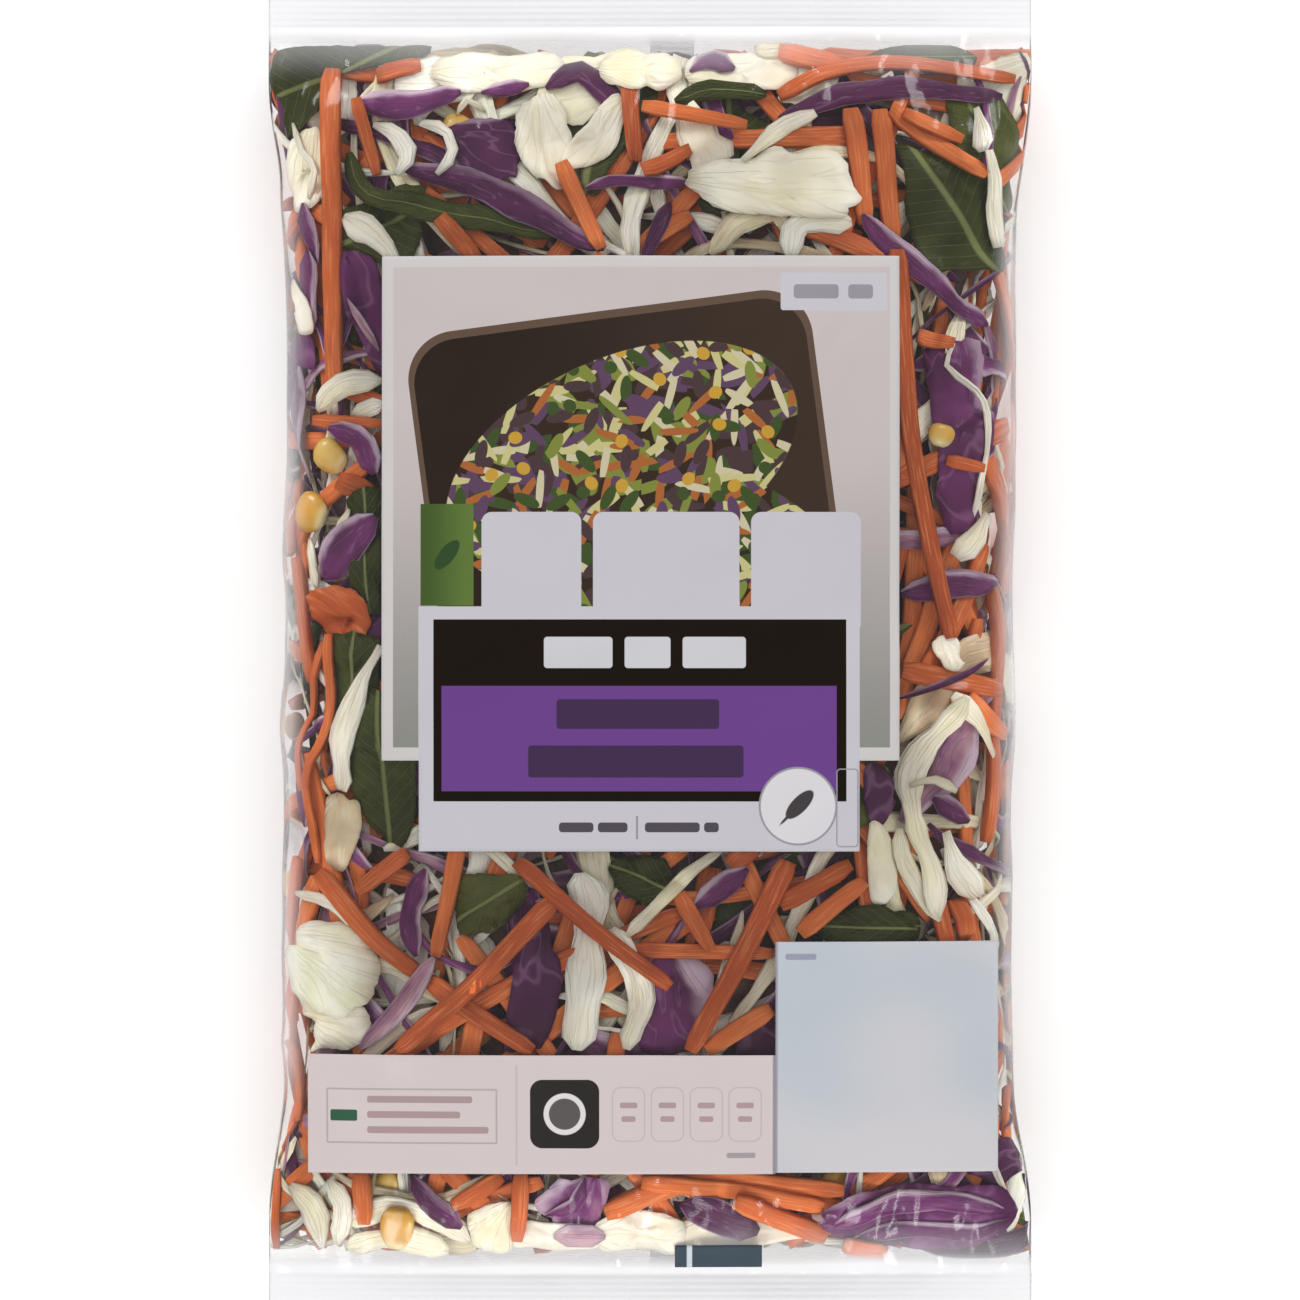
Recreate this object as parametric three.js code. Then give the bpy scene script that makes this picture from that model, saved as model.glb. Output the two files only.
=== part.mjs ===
// A sealed pillow bag of shredded stir-fry vegetables, lying on its back with the printed side up.
//
// The bag is one tube of clear film: welded flat across both ends, joined down its back by a fin seam
// that is folded over, and full of loose shreds. Its skin is lofted along Y through closed rings. Each
// ring runs over the upper film from -X to +X and comes back under the lower film.
//
// Millimetres, +Z up. X is the bag's width and Y its length, with the top weld at +Y. The origin is on
// the table, under the middle of the bag.

import * as THREE from "three";

// Driving dimensions
const LENGTH = 330; // from cut edge to cut edge
const FLAT_WIDTH = 190; // of the flat tube, and so of both end welds
const BODY_WIDTH = 182; // where the filling draws the sides in
const THICKNESS = 42; // at the middle
const WELD_LENGTH = 10.5; // of each end weld, along Y
const WELD_THICKNESS = 1;
const WELD_RIBS = 4; // crimp ribs pressed into each end weld
const RIB_HEIGHT = 0.3;
const FOLD_HEIGHT = 15; // of the side folds and end welds above the table
const FIN_WIDTH = 11; // of the back seam's flap
const FIN_THICKNESS = 0.7;

// How the pillow swells
const SHOULDER = 14; // beyond each weld, where the tube keeps its flat width
const WAIST = 34; // over which it then draws in to the body's width
const END_FULLNESS = 4; // how late the thickness falls off towards the ends
const END_SLOPE = 0.85;
const SIDE_FULLNESS = 2.5; // how late it falls off towards the sides
const REST_SHARE = 0.84; // of the full swelling, where the lower film meets the table

// What shows in the film
const WELD_WAVE = 1.8; // height of the slow wave that bends each end weld
const PUCKER_HEIGHT = 1.1; // of the folds that run out of each weld
const PUCKER_REACH = 38;
const SWELL_COUNT = 14; // broad uneven swellings of the filling
const SWELL_HEIGHT = 2;
const SHRED_COUNT = 120; // shreds that press up under the film
const SHRED_HEIGHT = 1.9;
const SHRED_HALF_WIDTH = 3.6;
const SHRED_HALF_LENGTH = [14, 34];
const SEED = 5;

// Mesh steps
const UPPER_STEPS = 36;
const LOWER_STEPS = 14;
const BODY_STEPS = 58;

const HALF_LENGTH = LENGTH / 2;
const INNER_END = HALF_LENGTH - WELD_LENGTH; // where the weld stops and the pocket begins
const RISE = THICKNESS - FOLD_HEIGHT; // of the upper film above the side folds
const FILM_COLOUR = 0xb78f7c; // the shreds and the print, seen together

// A seeded generator of numbers from 0 to 1 (mulberry32).
function seededRandom(seed) {
  let state = seed;
  return () => {
    state = (state + 0x6d2b79f5) | 0;
    let t = Math.imul(state ^ (state >>> 15), 1 | state);
    t = (t + Math.imul(t ^ (t >>> 7), 61 | t)) ^ t;
    return ((t ^ (t >>> 14)) >>> 0) / 2 ** 32;
  };
}

const clamp01 = (value) => Math.min(1, Math.max(0, value));
const smoothstep = (value) => clamp01(value) ** 2 * (3 - 2 * clamp01(value));

// How far y is inside the pocket, from the nearer weld. It is negative in a weld.
const depthIn = (y) => INNER_END - Math.abs(y);

// Half the bag's width: flat at the ends, drawn in where it is full.
function halfWidth(y) {
  const drawnIn = smoothstep((depthIn(y) - SHOULDER) / WAIST);
  return (FLAT_WIDTH - (FLAT_WIDTH - BODY_WIDTH) * drawnIn) / 2;
}

// From 0 at a weld or a side fold to 1 in the middle of the bag.
function swelling(x, y) {
  const along = clamp01(1 - (Math.abs(y) / INNER_END) ** END_FULLNESS) ** END_SLOPE;
  const across = Math.sqrt(clamp01(1 - Math.abs(x / halfWidth(y)) ** SIDE_FULLNESS));
  return along * across;
}

// The welds aren't straight: a slow wave bends each one, and dies out along the side folds.
function foldHeight(x, y) {
  const end = Math.exp(-Math.max(0, depthIn(y)) / PUCKER_REACH);
  const phase = y > 0 ? 0.6 : 2.1;
  return FOLD_HEIGHT + WELD_WAVE * end * Math.sin((2.4 * Math.PI * x) / FLAT_WIDTH + phase);
}

// Folds that run out of each weld where the full width is gathered in.
function puckers(x, y) {
  const depth = depthIn(y);
  if (depth <= 0) return 0;
  const fade = smoothstep(depth / 6) * Math.exp(-depth / PUCKER_REACH);
  const end = y > 0 ? 1 : 2;
  const fan = x / (1 + depth / 160); // the folds spread a little as they run in
  return PUCKER_HEIGHT * fade * (Math.sin(fan * 0.36 + end) + 0.6 * Math.sin(fan * 0.61 + 3 * end));
}

// Bumps in the filling. Each is a soft ridge with a place, a direction, half sizes and a height.
function makeBumps(random, count, height, halfWidthOf, halfLengthOf) {
  return Array.from({ length: count }, () => {
    const turn = Math.PI * random();
    return {
      x: (random() - 0.5) * BODY_WIDTH,
      y: (random() - 0.5) * 2 * INNER_END,
      cos: Math.cos(turn),
      sin: Math.sin(turn),
      halfWidth: halfWidthOf(random),
      halfLength: halfLengthOf(random),
      height: height * (0.5 + 0.5 * random()),
    };
  });
}

function bumpHeight(bump, x, y) {
  const dx = x - bump.x;
  const dy = y - bump.y;
  const along = (dx * bump.cos + dy * bump.sin) / bump.halfLength;
  const across = (dy * bump.cos - dx * bump.sin) / bump.halfWidth;
  return bump.height * Math.exp(-(along ** 4) - across ** 2);
}

const random = seededRandom(SEED);
const swells = makeBumps(
  random,
  SWELL_COUNT,
  SWELL_HEIGHT,
  (r) => 18 + 14 * r(),
  (r) => 24 + 20 * r(),
);
const shreds = makeBumps(
  random,
  SHRED_COUNT,
  SHRED_HEIGHT,
  (r) => SHRED_HALF_WIDTH * (0.8 + 0.6 * r()),
  (r) => THREE.MathUtils.lerp(...SHRED_HALF_LENGTH, r()),
);

// The film is drawn over the highest shreds, and over the broad swells under them.
function fillingRelief(x, y) {
  const broad = swells.reduce((sum, bump, i) => sum + (i % 2 ? -1 : 1) * bumpHeight(bump, x, y), 0);
  const fine = Math.max(...shreds.map((bump) => bumpHeight(bump, x, y)));
  return broad + fine - SHRED_HEIGHT / 2;
}

// Ribs run across each weld, so they rise and fall with y.
function weldHalfThickness(y) {
  const into = clamp01(-depthIn(y) / WELD_LENGTH);
  return WELD_THICKNESS / 2 + RIB_HEIGHT * Math.sin(Math.PI * WELD_RIBS * into) ** 2;
}

function upperHeight(x, y) {
  const swell = swelling(x, y);
  const relief = fillingRelief(x, y) * Math.min(1, 1.6 * swell);
  return foldHeight(x, y) + weldHalfThickness(y) + RISE * swell + relief + puckers(x, y) * (1 - swell);
}

// The lower film sinks to the table, lies flat on it, and carries the folded seam outside that patch.
function lowerHeight(x, y) {
  const sunk = Math.sin((Math.PI / 2) * clamp01(swelling(x, y) / REST_SHARE));
  const film = (foldHeight(x, y) - weldHalfThickness(y)) * (1 - sunk);
  const fin = depthIn(y) > 0 && x >= 0 && x <= FIN_WIDTH ? FIN_THICKNESS : 0;
  return Math.max(0, film - puckers(x, y) * (1 - sunk) * 0.5 - fin);
}

// Places from -1 to 1, closer together towards both ends.
function placesOf(steps, evenShare) {
  return Array.from({ length: steps + 1 }, (_, i) => {
    const t = (2 * i) / steps - 1;
    return evenShare * t + (1 - evenShare) * Math.sin((Math.PI / 2) * t);
  });
}

// Where the rings stand along Y: two for each rib of a weld, and closer together where the pocket begins.
function stations() {
  const weldSteps = 2 * WELD_RIBS;
  const weld = Array.from({ length: weldSteps }, (_, i) => HALF_LENGTH - (WELD_LENGTH * i) / weldSteps);
  const body = placesOf(BODY_STEPS, 0.6).map((t) => t * INNER_END);
  return [...weld.map((y) => -y), ...body, ...weld.reverse()];
}

// The lower film's places across the bag, with a step at both edges of the folded seam.
function lowerPlaces(y) {
  const even = placesOf(LOWER_STEPS, 0.55).map((t) => t * halfWidth(y));
  const clear = even.filter((x) => x < -2 || x > FIN_WIDTH + 2);
  const edge = 0.2;
  return [...clear, -edge, 0, FIN_WIDTH, FIN_WIDTH + edge].sort((a, b) => b - a);
}

function ring(y) {
  const upper = placesOf(UPPER_STEPS, 0.55).map((t) => t * halfWidth(y));
  return [
    ...upper.map((x) => new THREE.Vector3(x, y, upperHeight(x, y))),
    ...lowerPlaces(y).map((x) => new THREE.Vector3(x, y, lowerHeight(x, y))),
  ];
}

// A closed skin over rings of equally many points, with a flat cap on each end.
function loft(rings) {
  const count = rings[0].length;
  const index = [];
  for (let i = 0; i + 1 < rings.length; i++) {
    for (let j = 0; j < count; j++) {
      const a = i * count + j;
      const b = i * count + ((j + 1) % count);
      index.push(a, b, b + count, a, b + count, a + count);
    }
  }
  const capOf = (points) =>
    THREE.ShapeUtils.triangulateShape(
      points.map((p) => new THREE.Vector2(p.x, p.z)),
      [],
    );
  const last = (rings.length - 1) * count;
  for (const [a, b, c] of capOf(rings[0])) index.push(a, b, c);
  for (const [a, b, c] of capOf(rings[rings.length - 1])) index.push(last + a, last + c, last + b);
  const geometry = new THREE.BufferGeometry().setFromPoints(rings.flat());
  geometry.setIndex(index);
  geometry.computeVertexNormals();
  return geometry;
}

const film = new THREE.MeshStandardMaterial({ color: FILM_COLOUR, roughness: 0.3, metalness: 0 });
const bag = new THREE.Mesh(loft(stations().map(ring)), film);
bag.name = "bag";

const pack = new THREE.Group();
pack.add(bag);

export default pack;
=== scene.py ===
"""A sealed bag of shredded stir-fry vegetables in clear film, lying on its back with the print up.

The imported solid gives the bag's skin, which is read as a grid rolled round the bag. The shreds are laid
on a core under it, one after another, and the film is then drawn tight over them.

Lengths are in millimetres and become metres where a mesh is made. A spot on the rolled-out bag is
(round, along): round starts at the left fold and runs over the front, and along is the bag's own y.
A third number, where a spot has one, is its height over the core.
"""

import math

import bpy
import numpy as np
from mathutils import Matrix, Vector
from mathutils.bvhtree import BVHTree


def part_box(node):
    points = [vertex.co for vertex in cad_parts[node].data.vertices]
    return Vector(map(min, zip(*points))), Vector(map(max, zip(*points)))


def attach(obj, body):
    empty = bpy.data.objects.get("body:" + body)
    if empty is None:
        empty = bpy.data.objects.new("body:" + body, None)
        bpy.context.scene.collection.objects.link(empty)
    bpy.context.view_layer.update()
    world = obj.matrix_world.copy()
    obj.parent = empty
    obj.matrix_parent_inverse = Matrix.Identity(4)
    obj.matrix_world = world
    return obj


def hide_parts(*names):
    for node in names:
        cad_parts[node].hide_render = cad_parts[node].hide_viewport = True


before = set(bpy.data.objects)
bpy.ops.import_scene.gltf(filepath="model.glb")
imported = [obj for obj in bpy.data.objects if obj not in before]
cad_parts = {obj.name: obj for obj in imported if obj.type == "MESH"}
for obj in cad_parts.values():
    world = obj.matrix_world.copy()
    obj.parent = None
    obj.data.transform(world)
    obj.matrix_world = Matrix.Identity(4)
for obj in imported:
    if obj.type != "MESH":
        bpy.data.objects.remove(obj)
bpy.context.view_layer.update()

MM = 0.001

# The bag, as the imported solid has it
LOW, HIGH = (np.array(corner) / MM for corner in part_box("bag"))
LENGTH = HIGH[1] - LOW[1]
FLAT_WIDTH = HIGH[0] - LOW[0]
WELD_LENGTH = 10.5
POCKET = LENGTH / 2 - WELD_LENGTH  # how far the inside reaches from the middle, along the bag

# The grid that is rolled round the bag
PITCH = 1.25
COLUMNS = 4 * round(FLAT_WIDTH / PITCH / 2)
HALF = COLUMNS // 2  # columns on the front, from the left fold to the right one
ROW_Y = np.linspace(LOW[1], HIGH[1], round(LENGTH / PITCH) + 1)
ROWS = len(ROW_Y)

# The filling
STACK = 11.5  # depth of the laid shreds, from the film down to the core
CLEARANCE = 0.45  # between the shreds and the film
FILM_TENSION = 60  # passes that draw the film tight: more passes bridge wider dips
PRESSED = 0.62  # share of the shreds' relief that the film presses flat
TABLE_GAP = 0.35  # the film's own lowest height, over the fin seam
SEED = 11

rng = np.random.default_rng(SEED)


# ---------------------------------------------------------------- lines and grids


def even_steps(points, count):
    """The same line through evenly spaced points."""
    travel = np.concatenate([[0], np.cumsum(np.linalg.norm(np.diff(points, axis=0), axis=1))])
    wanted = np.linspace(0, travel[-1], count)
    return np.stack([np.interp(wanted, travel, axis) for axis in points.T], axis=1)


def line_length(points):
    return np.linalg.norm(np.diff(points, axis=0), axis=1).sum()


def curve_through(points, closed=False, steps=12):
    """A smooth Catmull-Rom curve through a few points."""
    points = np.array(points, float)
    if closed:
        padded = np.vstack([points[-1:], points, points[:2]])
    else:
        padded = np.vstack([2 * points[0] - points[1], points, 2 * points[-1] - points[-2]])
    t = np.linspace(0, 1, steps, endpoint=False)[:, None]
    spans = []
    for a, b, c, d in zip(padded, padded[1:], padded[2:], padded[3:]):
        square = t**2 * (a - 2.5 * b + 2 * c - d / 2)
        cube = t**3 * (1.5 * (b - c) + (d - a) / 2)
        spans.append(b + t * (c - a) / 2 + square + cube)
    if not closed:
        spans.append(points[-1:])
    return np.vstack(spans)


def soften(field, passes, across=True):
    """Smooths a grid along the bag, and round it where across is set."""
    for _ in range(passes):
        middle = (field[:-2] + 2 * field[1:-1] + field[2:]) / 4
        field = np.concatenate([field[:1], middle, field[-1:]])
        if across:
            field = (np.roll(field, 1, 1) + 2 * field + np.roll(field, -1, 1)) / 4
    return field


def widened(field):
    """Each cell's highest neighbour."""
    taller = np.maximum(field, np.maximum(np.roll(field, 1, 1), np.roll(field, -1, 1)))
    padded = np.pad(taller, ((1, 1), (0, 0)), mode="edge")
    return np.maximum(taller, np.maximum(padded[:-2], padded[2:]))


def grid_faces(rows, columns, rolled):
    """Quads over a grid of rows by columns, closed round the columns where it is rolled."""
    row = np.arange(rows - 1)[:, None]
    column = np.arange(columns if rolled else columns - 1)[None, :]
    following = (column + 1) % columns
    corners = [row * columns + column, row * columns + following]
    corners += [(row + 1) * columns + following, (row + 1) * columns + column]
    return np.stack([np.broadcast_to(c, corners[1].shape) for c in corners], axis=-1).reshape(-1, 4)


def tube_faces(rows, columns):
    """A tube of rows, each a ring of columns, closed with a cap at both ends."""
    caps = [range(columns)[::-1], range((rows - 1) * columns, rows * columns)]
    return [*grid_faces(rows, columns, rolled=True), *caps]


def rise(value, low, high):
    """From 0 at low to 1 at high, eased at both ends."""
    t = np.clip((value - low) / (high - low), 0, 1)
    return t * t * (3 - 2 * t)


def between(low, high):
    """A random number from low to high."""
    return low + (high - low) * rng.random()


def turned(x, y, angle):
    c, s = np.cos(angle), np.sin(angle)
    return x * c - y * s, x * s + y * c


def neighbours(values, reach):
    """For each place on a line, the values within reach of it, one row for each step away."""
    padded = np.pad(values, reach, mode="edge")
    return [padded[i : i + len(values)] for i in range(2 * reach + 1)]


def widest(values, reach):
    return np.max(neighbours(values, reach), axis=0)


def average(values, reach):
    return np.mean(neighbours(values, reach), axis=0)


def uneven_line(count, spacing):
    """A smooth random line about 0, with a new value every few millimetres."""
    knots = rng.normal(size=count // spacing + 3)
    return average(np.interp(np.arange(count), np.arange(len(knots)) * spacing, knots), spacing // 2)


# ---------------------------------------------------------------- the skin

SOUNDINGS = 61  # places across the bag at which the solid is read
END_MARGIN = 0.05  # that the outermost sections keep from the bag's ends
SAME_PLACE = 0.02  # distance within which corners belong to one ring
FACET_PASSES = 8  # that even out the solid's facets
FIELD_PASSES = 6  # that even out the normals and the depths
DEPTHS = (1, 2, 3, 4.5, 6, 8, 10, STACK)  # at which the room under the film is tried
LEAST_DEPTH = 0.3
CLEAR_SHARE = 0.8  # of a depth that has to be free round the place at that depth


class Skin:
    """The bag's skin as a grid: a row for each place along it, a column for each place round it."""

    def __init__(self, solid):
        corners = np.array([v.co[:] for v in solid.data.vertices]) / MM
        faces = [tuple(p.vertices) for p in solid.data.polygons]
        self.tree = BVHTree.FromPolygons(corners.tolist(), faces)
        self.points = self.sections(self.fold(corners, -1), self.fold(corners, 1))
        self.points[..., 2] = soften(self.points[..., 2], FACET_PASSES)
        self.points[..., 0] = soften(self.points[..., 0], FACET_PASSES, across=False)
        self.normals = self.outward()
        self.depth = soften(self.room(), FIELD_PASSES)
        self.film = np.full((ROWS, COLUMNS), STACK)
        self.level = STACK

    def fold(self, corners, side):
        """Where the film folds over at one side: its x and z for every row."""
        stations = np.unique(np.round(corners[:, 1], 2))
        ends = []
        for y in stations:
            ring = corners[np.abs(corners[:, 1] - y) < SAME_PLACE]
            reach = (side * ring[:, 0]).max()
            outermost = side * ring[:, 0] > reach - SAME_PLACE
            ends.append((side * reach, ring[outermost, 2].mean()))
        return [np.interp(ROW_Y, stations, values) for values in zip(*ends)]

    def sections(self, left, right):
        """Closed sections of the solid in even steps, over the front and back under it."""
        spread = (1 - np.cos(np.linspace(0, math.pi, SOUNDINGS))) / 2
        far = 2 * HIGH[2]
        rows = []
        for row, y in enumerate(np.clip(ROW_Y, LOW[1] + END_MARGIN, HIGH[1] - END_MARGIN)):
            x = left[0][row] + (right[0][row] - left[0][row]) * spread
            sides = []
            for start in (far, -far):
                hits = [self.tree.ray_cast((place, y, start), (0, 0, -start))[0] for place in x[1:-1]]
                z = [left[1][row], *(hit.z for hit in hits), right[1][row]]
                sides.append(even_steps(np.column_stack([x, z]), HALF + 1))
            rows.append(np.vstack([sides[0][:-1], sides[1][:0:-1]]))
        flat = np.array(rows)
        along = np.broadcast_to(ROW_Y[:, None], flat.shape[:2])
        return np.stack([flat[..., 0], along, flat[..., 1]], axis=-1)

    def outward(self):
        along = np.gradient(self.points, axis=0)
        round_it = np.roll(self.points, -1, 1) - np.roll(self.points, 1, 1)
        normals = soften(np.cross(round_it, along), FIELD_PASSES)
        return normals / np.linalg.norm(normals, axis=-1, keepdims=True)

    def room(self):
        """How deep the filling can go under each place before it meets the other side."""
        depth = np.full((ROWS, COLUMNS), LEAST_DEPTH)
        for cell in np.ndindex(ROWS, COLUMNS):
            for reach in DEPTHS:
                inside = self.points[cell] - reach * self.normals[cell]
                if self.tree.find_nearest(inside)[3] < CLEAR_SHARE * reach:
                    break
                depth[cell] = reach
        return depth

    def look_up(self, field, round_it, along):
        """A grid's value at any spot, worked out between the four nearest cells."""
        row = np.clip((along - ROW_Y[0]) / (ROW_Y[1] - ROW_Y[0]), 0, ROWS - 1.001)
        column = (round_it / PITCH) % COLUMNS
        r, c = row.astype(int), column.astype(int) % COLUMNS
        down, over = row - r, column - np.floor(column)
        if field.ndim == 3:
            down, over = down[..., None], over[..., None]
        after = (c + 1) % COLUMNS
        near = field[r, c] * (1 - over) + field[r, after] * over
        far = field[r + 1, c] * (1 - over) + field[r + 1, after] * over
        return near * (1 - down) + far * down

    def place(self, spots):
        """Real points in the bag for spots of (round, along, height over the core)."""
        height = spots[..., 2]
        fields = (self.points, self.normals, self.film, self.depth)
        points, normals, film, depth = (self.look_up(f, spots[..., 0], spots[..., 1]) for f in fields)
        depth = np.minimum(1, depth / self.level)
        underneath = rise(-normals[..., 2], 0.2, 0.9)
        pressed = PRESSED + (1 - PRESSED) * underneath
        height = height * (1 - pressed + pressed * self.level / film)
        points = points + normals * ((height - self.level) * depth)[..., None]
        return np.concatenate([points[..., :2], np.maximum(points[..., 2:], TABLE_GAP)], axis=-1)

    def spot_of(self, x, y):
        """The spot on the front that lies at x and y, as seen from straight above."""
        row = int(round((y - ROW_Y[0]) / (ROW_Y[1] - ROW_Y[0])))
        column = np.interp(x, self.points[row, : HALF + 1, 0], np.arange(HALF + 1))
        return column * PITCH, y


# ---------------------------------------------------------------- laying the shreds

SINK = 0.22  # share of its thickness that a piece sinks into what it lies on
LOWEST = 0.2  # height over the core at which a piece may lie
TRIES = 4  # random places that a piece is tried at before it is laid
LOOSE_MARGIN = 5.5  # that the loose pieces keep from the welds
NEAREST = 3  # that any piece may come to a weld
WANDER_STEPS = 14  # along a loose piece's route
STATION_STEP = 3  # between the sections of a strip
WAVER = 0.4  # how far a ragged strip wavers, as a share of its width
LEAF_EDGE = 56  # points round a leaf
LEAF_RING_STEP = 1.6  # between the rings that fill a leaf
LEAF_THICKNESS = 0.5
FULL_LEAF = 10  # half width from which a leaf is as wavy and torn as it gets
TORN = 0.08  # share of its size by which a leaf's edge wavers
NOTCH = (0.1, 0.3)  # depth of a tear, as a share of the leaf's size
RIM_LIFT = 1.4  # how far a leaf's rim curls up, in heights of its waves
DRAPE_PASSES = 5  # that settle a leaf on what it lies on
DRAPE_SAG = 0.3  # that it may sink into it
FOLDS = {"red_cabbage": 2, "white_cabbage": 4, "green_leaf": 1, "carrot": 0}  # in a piece of its leaf
KERNEL_HEIGHT = 5.5
KERNEL_MARGIN = 9  # that a loose kernel's middle keeps from the welds

# Sections of the strips, in half widths and half thicknesses
SQUARE_CUT = np.array([(1, -0.7), (1, 0.7), (0.8, 1), (-0.8, 1),
                       (-1, 0.7), (-1, -0.7), (-0.8, -1), (0.8, -1)])
RIB_AND_BLADE = np.array([(1, -0.15), (1, 0.15), (0.4, 0.4), (-0.15, 0.6), (-0.6, 1),
                          (-1, 0.5), (-1, -0.5), (-0.6, -0.9), (-0.15, -0.6), (0.4, -0.4)])
STRAND = np.array([(1, 0), (0.3, 0.9), (-0.8, 0.6), (-0.8, -0.6), (0.3, -0.9)])


class Kind:
    """All pieces of one vegetable, gathered until they become one mesh."""

    def __init__(self, name):
        self.name = name
        self.points, self.faces, self.along, self.across, self.tone = [], [], [], [], []
        self.count = 0

    def add(self, points, faces, along, across, tone=None):
        tone = rng.random() if tone is None else tone
        self.points.append(points.reshape(-1, 3))
        self.faces.extend([tuple(int(i) + self.count for i in face) for face in faces])
        self.along.append(np.broadcast_to(along, points.shape[:-1]).reshape(-1))
        self.across.append(np.broadcast_to(across, points.shape[:-1]).reshape(-1))
        self.tone.append(np.full(points.size // 3, tone))
        self.count += points.size // 3


class Heap:
    """How high the pieces stand over the core, on the bag's grid."""

    def __init__(self):
        self.top = np.zeros((ROWS, COLUMNS))

    def cells(self, spots):
        row = np.clip(np.rint((spots[..., 1] - ROW_Y[0]) / PITCH), 0, ROWS - 1).astype(int)
        return row, np.rint(spots[..., 0] / PITCH).astype(int) % COLUMNS

    def under(self, spots):
        return self.top[self.cells(spots)]

    def raise_to(self, spots, height):
        np.maximum.at(self.top, self.cells(spots), height)


def random_spot(margin=0):
    """Any spot on the bag that keeps that far from the welds."""
    return np.array([rng.random() * COLUMNS * PITCH, (2 * rng.random() - 1) * (POCKET - margin)])


def keep_in_pocket(route):
    """Shifts a route along the bag until it is clear of both welds."""
    reach = POCKET - LOOSE_MARGIN
    over = max(0, route[:, 1].max() - reach)
    under = max(0, -reach - route[:, 1].min())
    shifted = route - [0, over - under]
    shifted[:, 1] = np.clip(shifted[:, 1], -reach, reach)
    return shifted


def bridge(support, stiff):
    """The height of a strip over what it lies on. A stiff one stays nearly straight, a limp one drapes."""
    if not stiff:
        return average(widest(support, 3), 4)
    t = np.linspace(-1, 1, len(support))
    line = np.polyval(np.polyfit(t, support, 2 if len(support) > 4 else 1), t)
    return line + 0.6 * (support - line).max()


def lay_strip(kind, heap, route, width, thick, section, taper,
              stiff=False, twist=0.0, ragged=0.0, tone=None):
    """Lays a strip along a route of spots, and adds its mesh to its kind."""
    length = line_length(route)
    dense = even_steps(route, max(6, round(length)))
    heading = np.gradient(dense, axis=0)
    heading /= np.linalg.norm(heading, axis=1, keepdims=True)
    sideways = np.column_stack([heading[:, 1], -heading[:, 0]])
    t = np.linspace(0, 1, len(dense))
    shape = taper(t) * (1 + ragged * uneven_line(len(dense), 5))
    dense = dense + sideways * (ragged * width * WAVER * uneven_line(len(dense), 7))[:, None]
    offsets = np.linspace(-1, 1, max(3, 2 * round(width / PITCH) + 1))
    reach = (width / 2) * shape[:, None] * offsets[None, :]
    footprint = dense[:, None, :] + sideways[:, None, :] * reach[..., None]
    support = heap.under(footprint).max(axis=1)
    height = np.maximum(bridge(support, stiff) - SINK * thick, LOWEST)
    heap.raise_to(footprint, (height + thick * 0.95)[:, None])

    count = max(5, round(length / STATION_STEP))
    stations = np.unique(np.linspace(0, len(dense) - 1, count).round().astype(int))
    angle = twist * np.sin(2.2 * np.pi * t[stations] + 6 * rng.random())
    a = section[:, 0] * width / 2 * shape[stations, None]
    b = section[:, 1] * thick / 2 * np.sqrt(shape[stations, None])
    a, b = turned(a, b, angle[:, None])
    ground = dense[stations, None, :] + sideways[stations, None, :] * a[..., None]
    level = (height[stations] + thick / 2)[:, None] + b
    heap.raise_to(ground, level)
    points = np.concatenate([ground, level[..., None]], axis=-1)
    along, across = (t[stations] * length)[:, None], section[:, 0][None, :]
    kind.add(points, tube_faces(*points.shape[:2]), along, across, tone)


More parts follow.
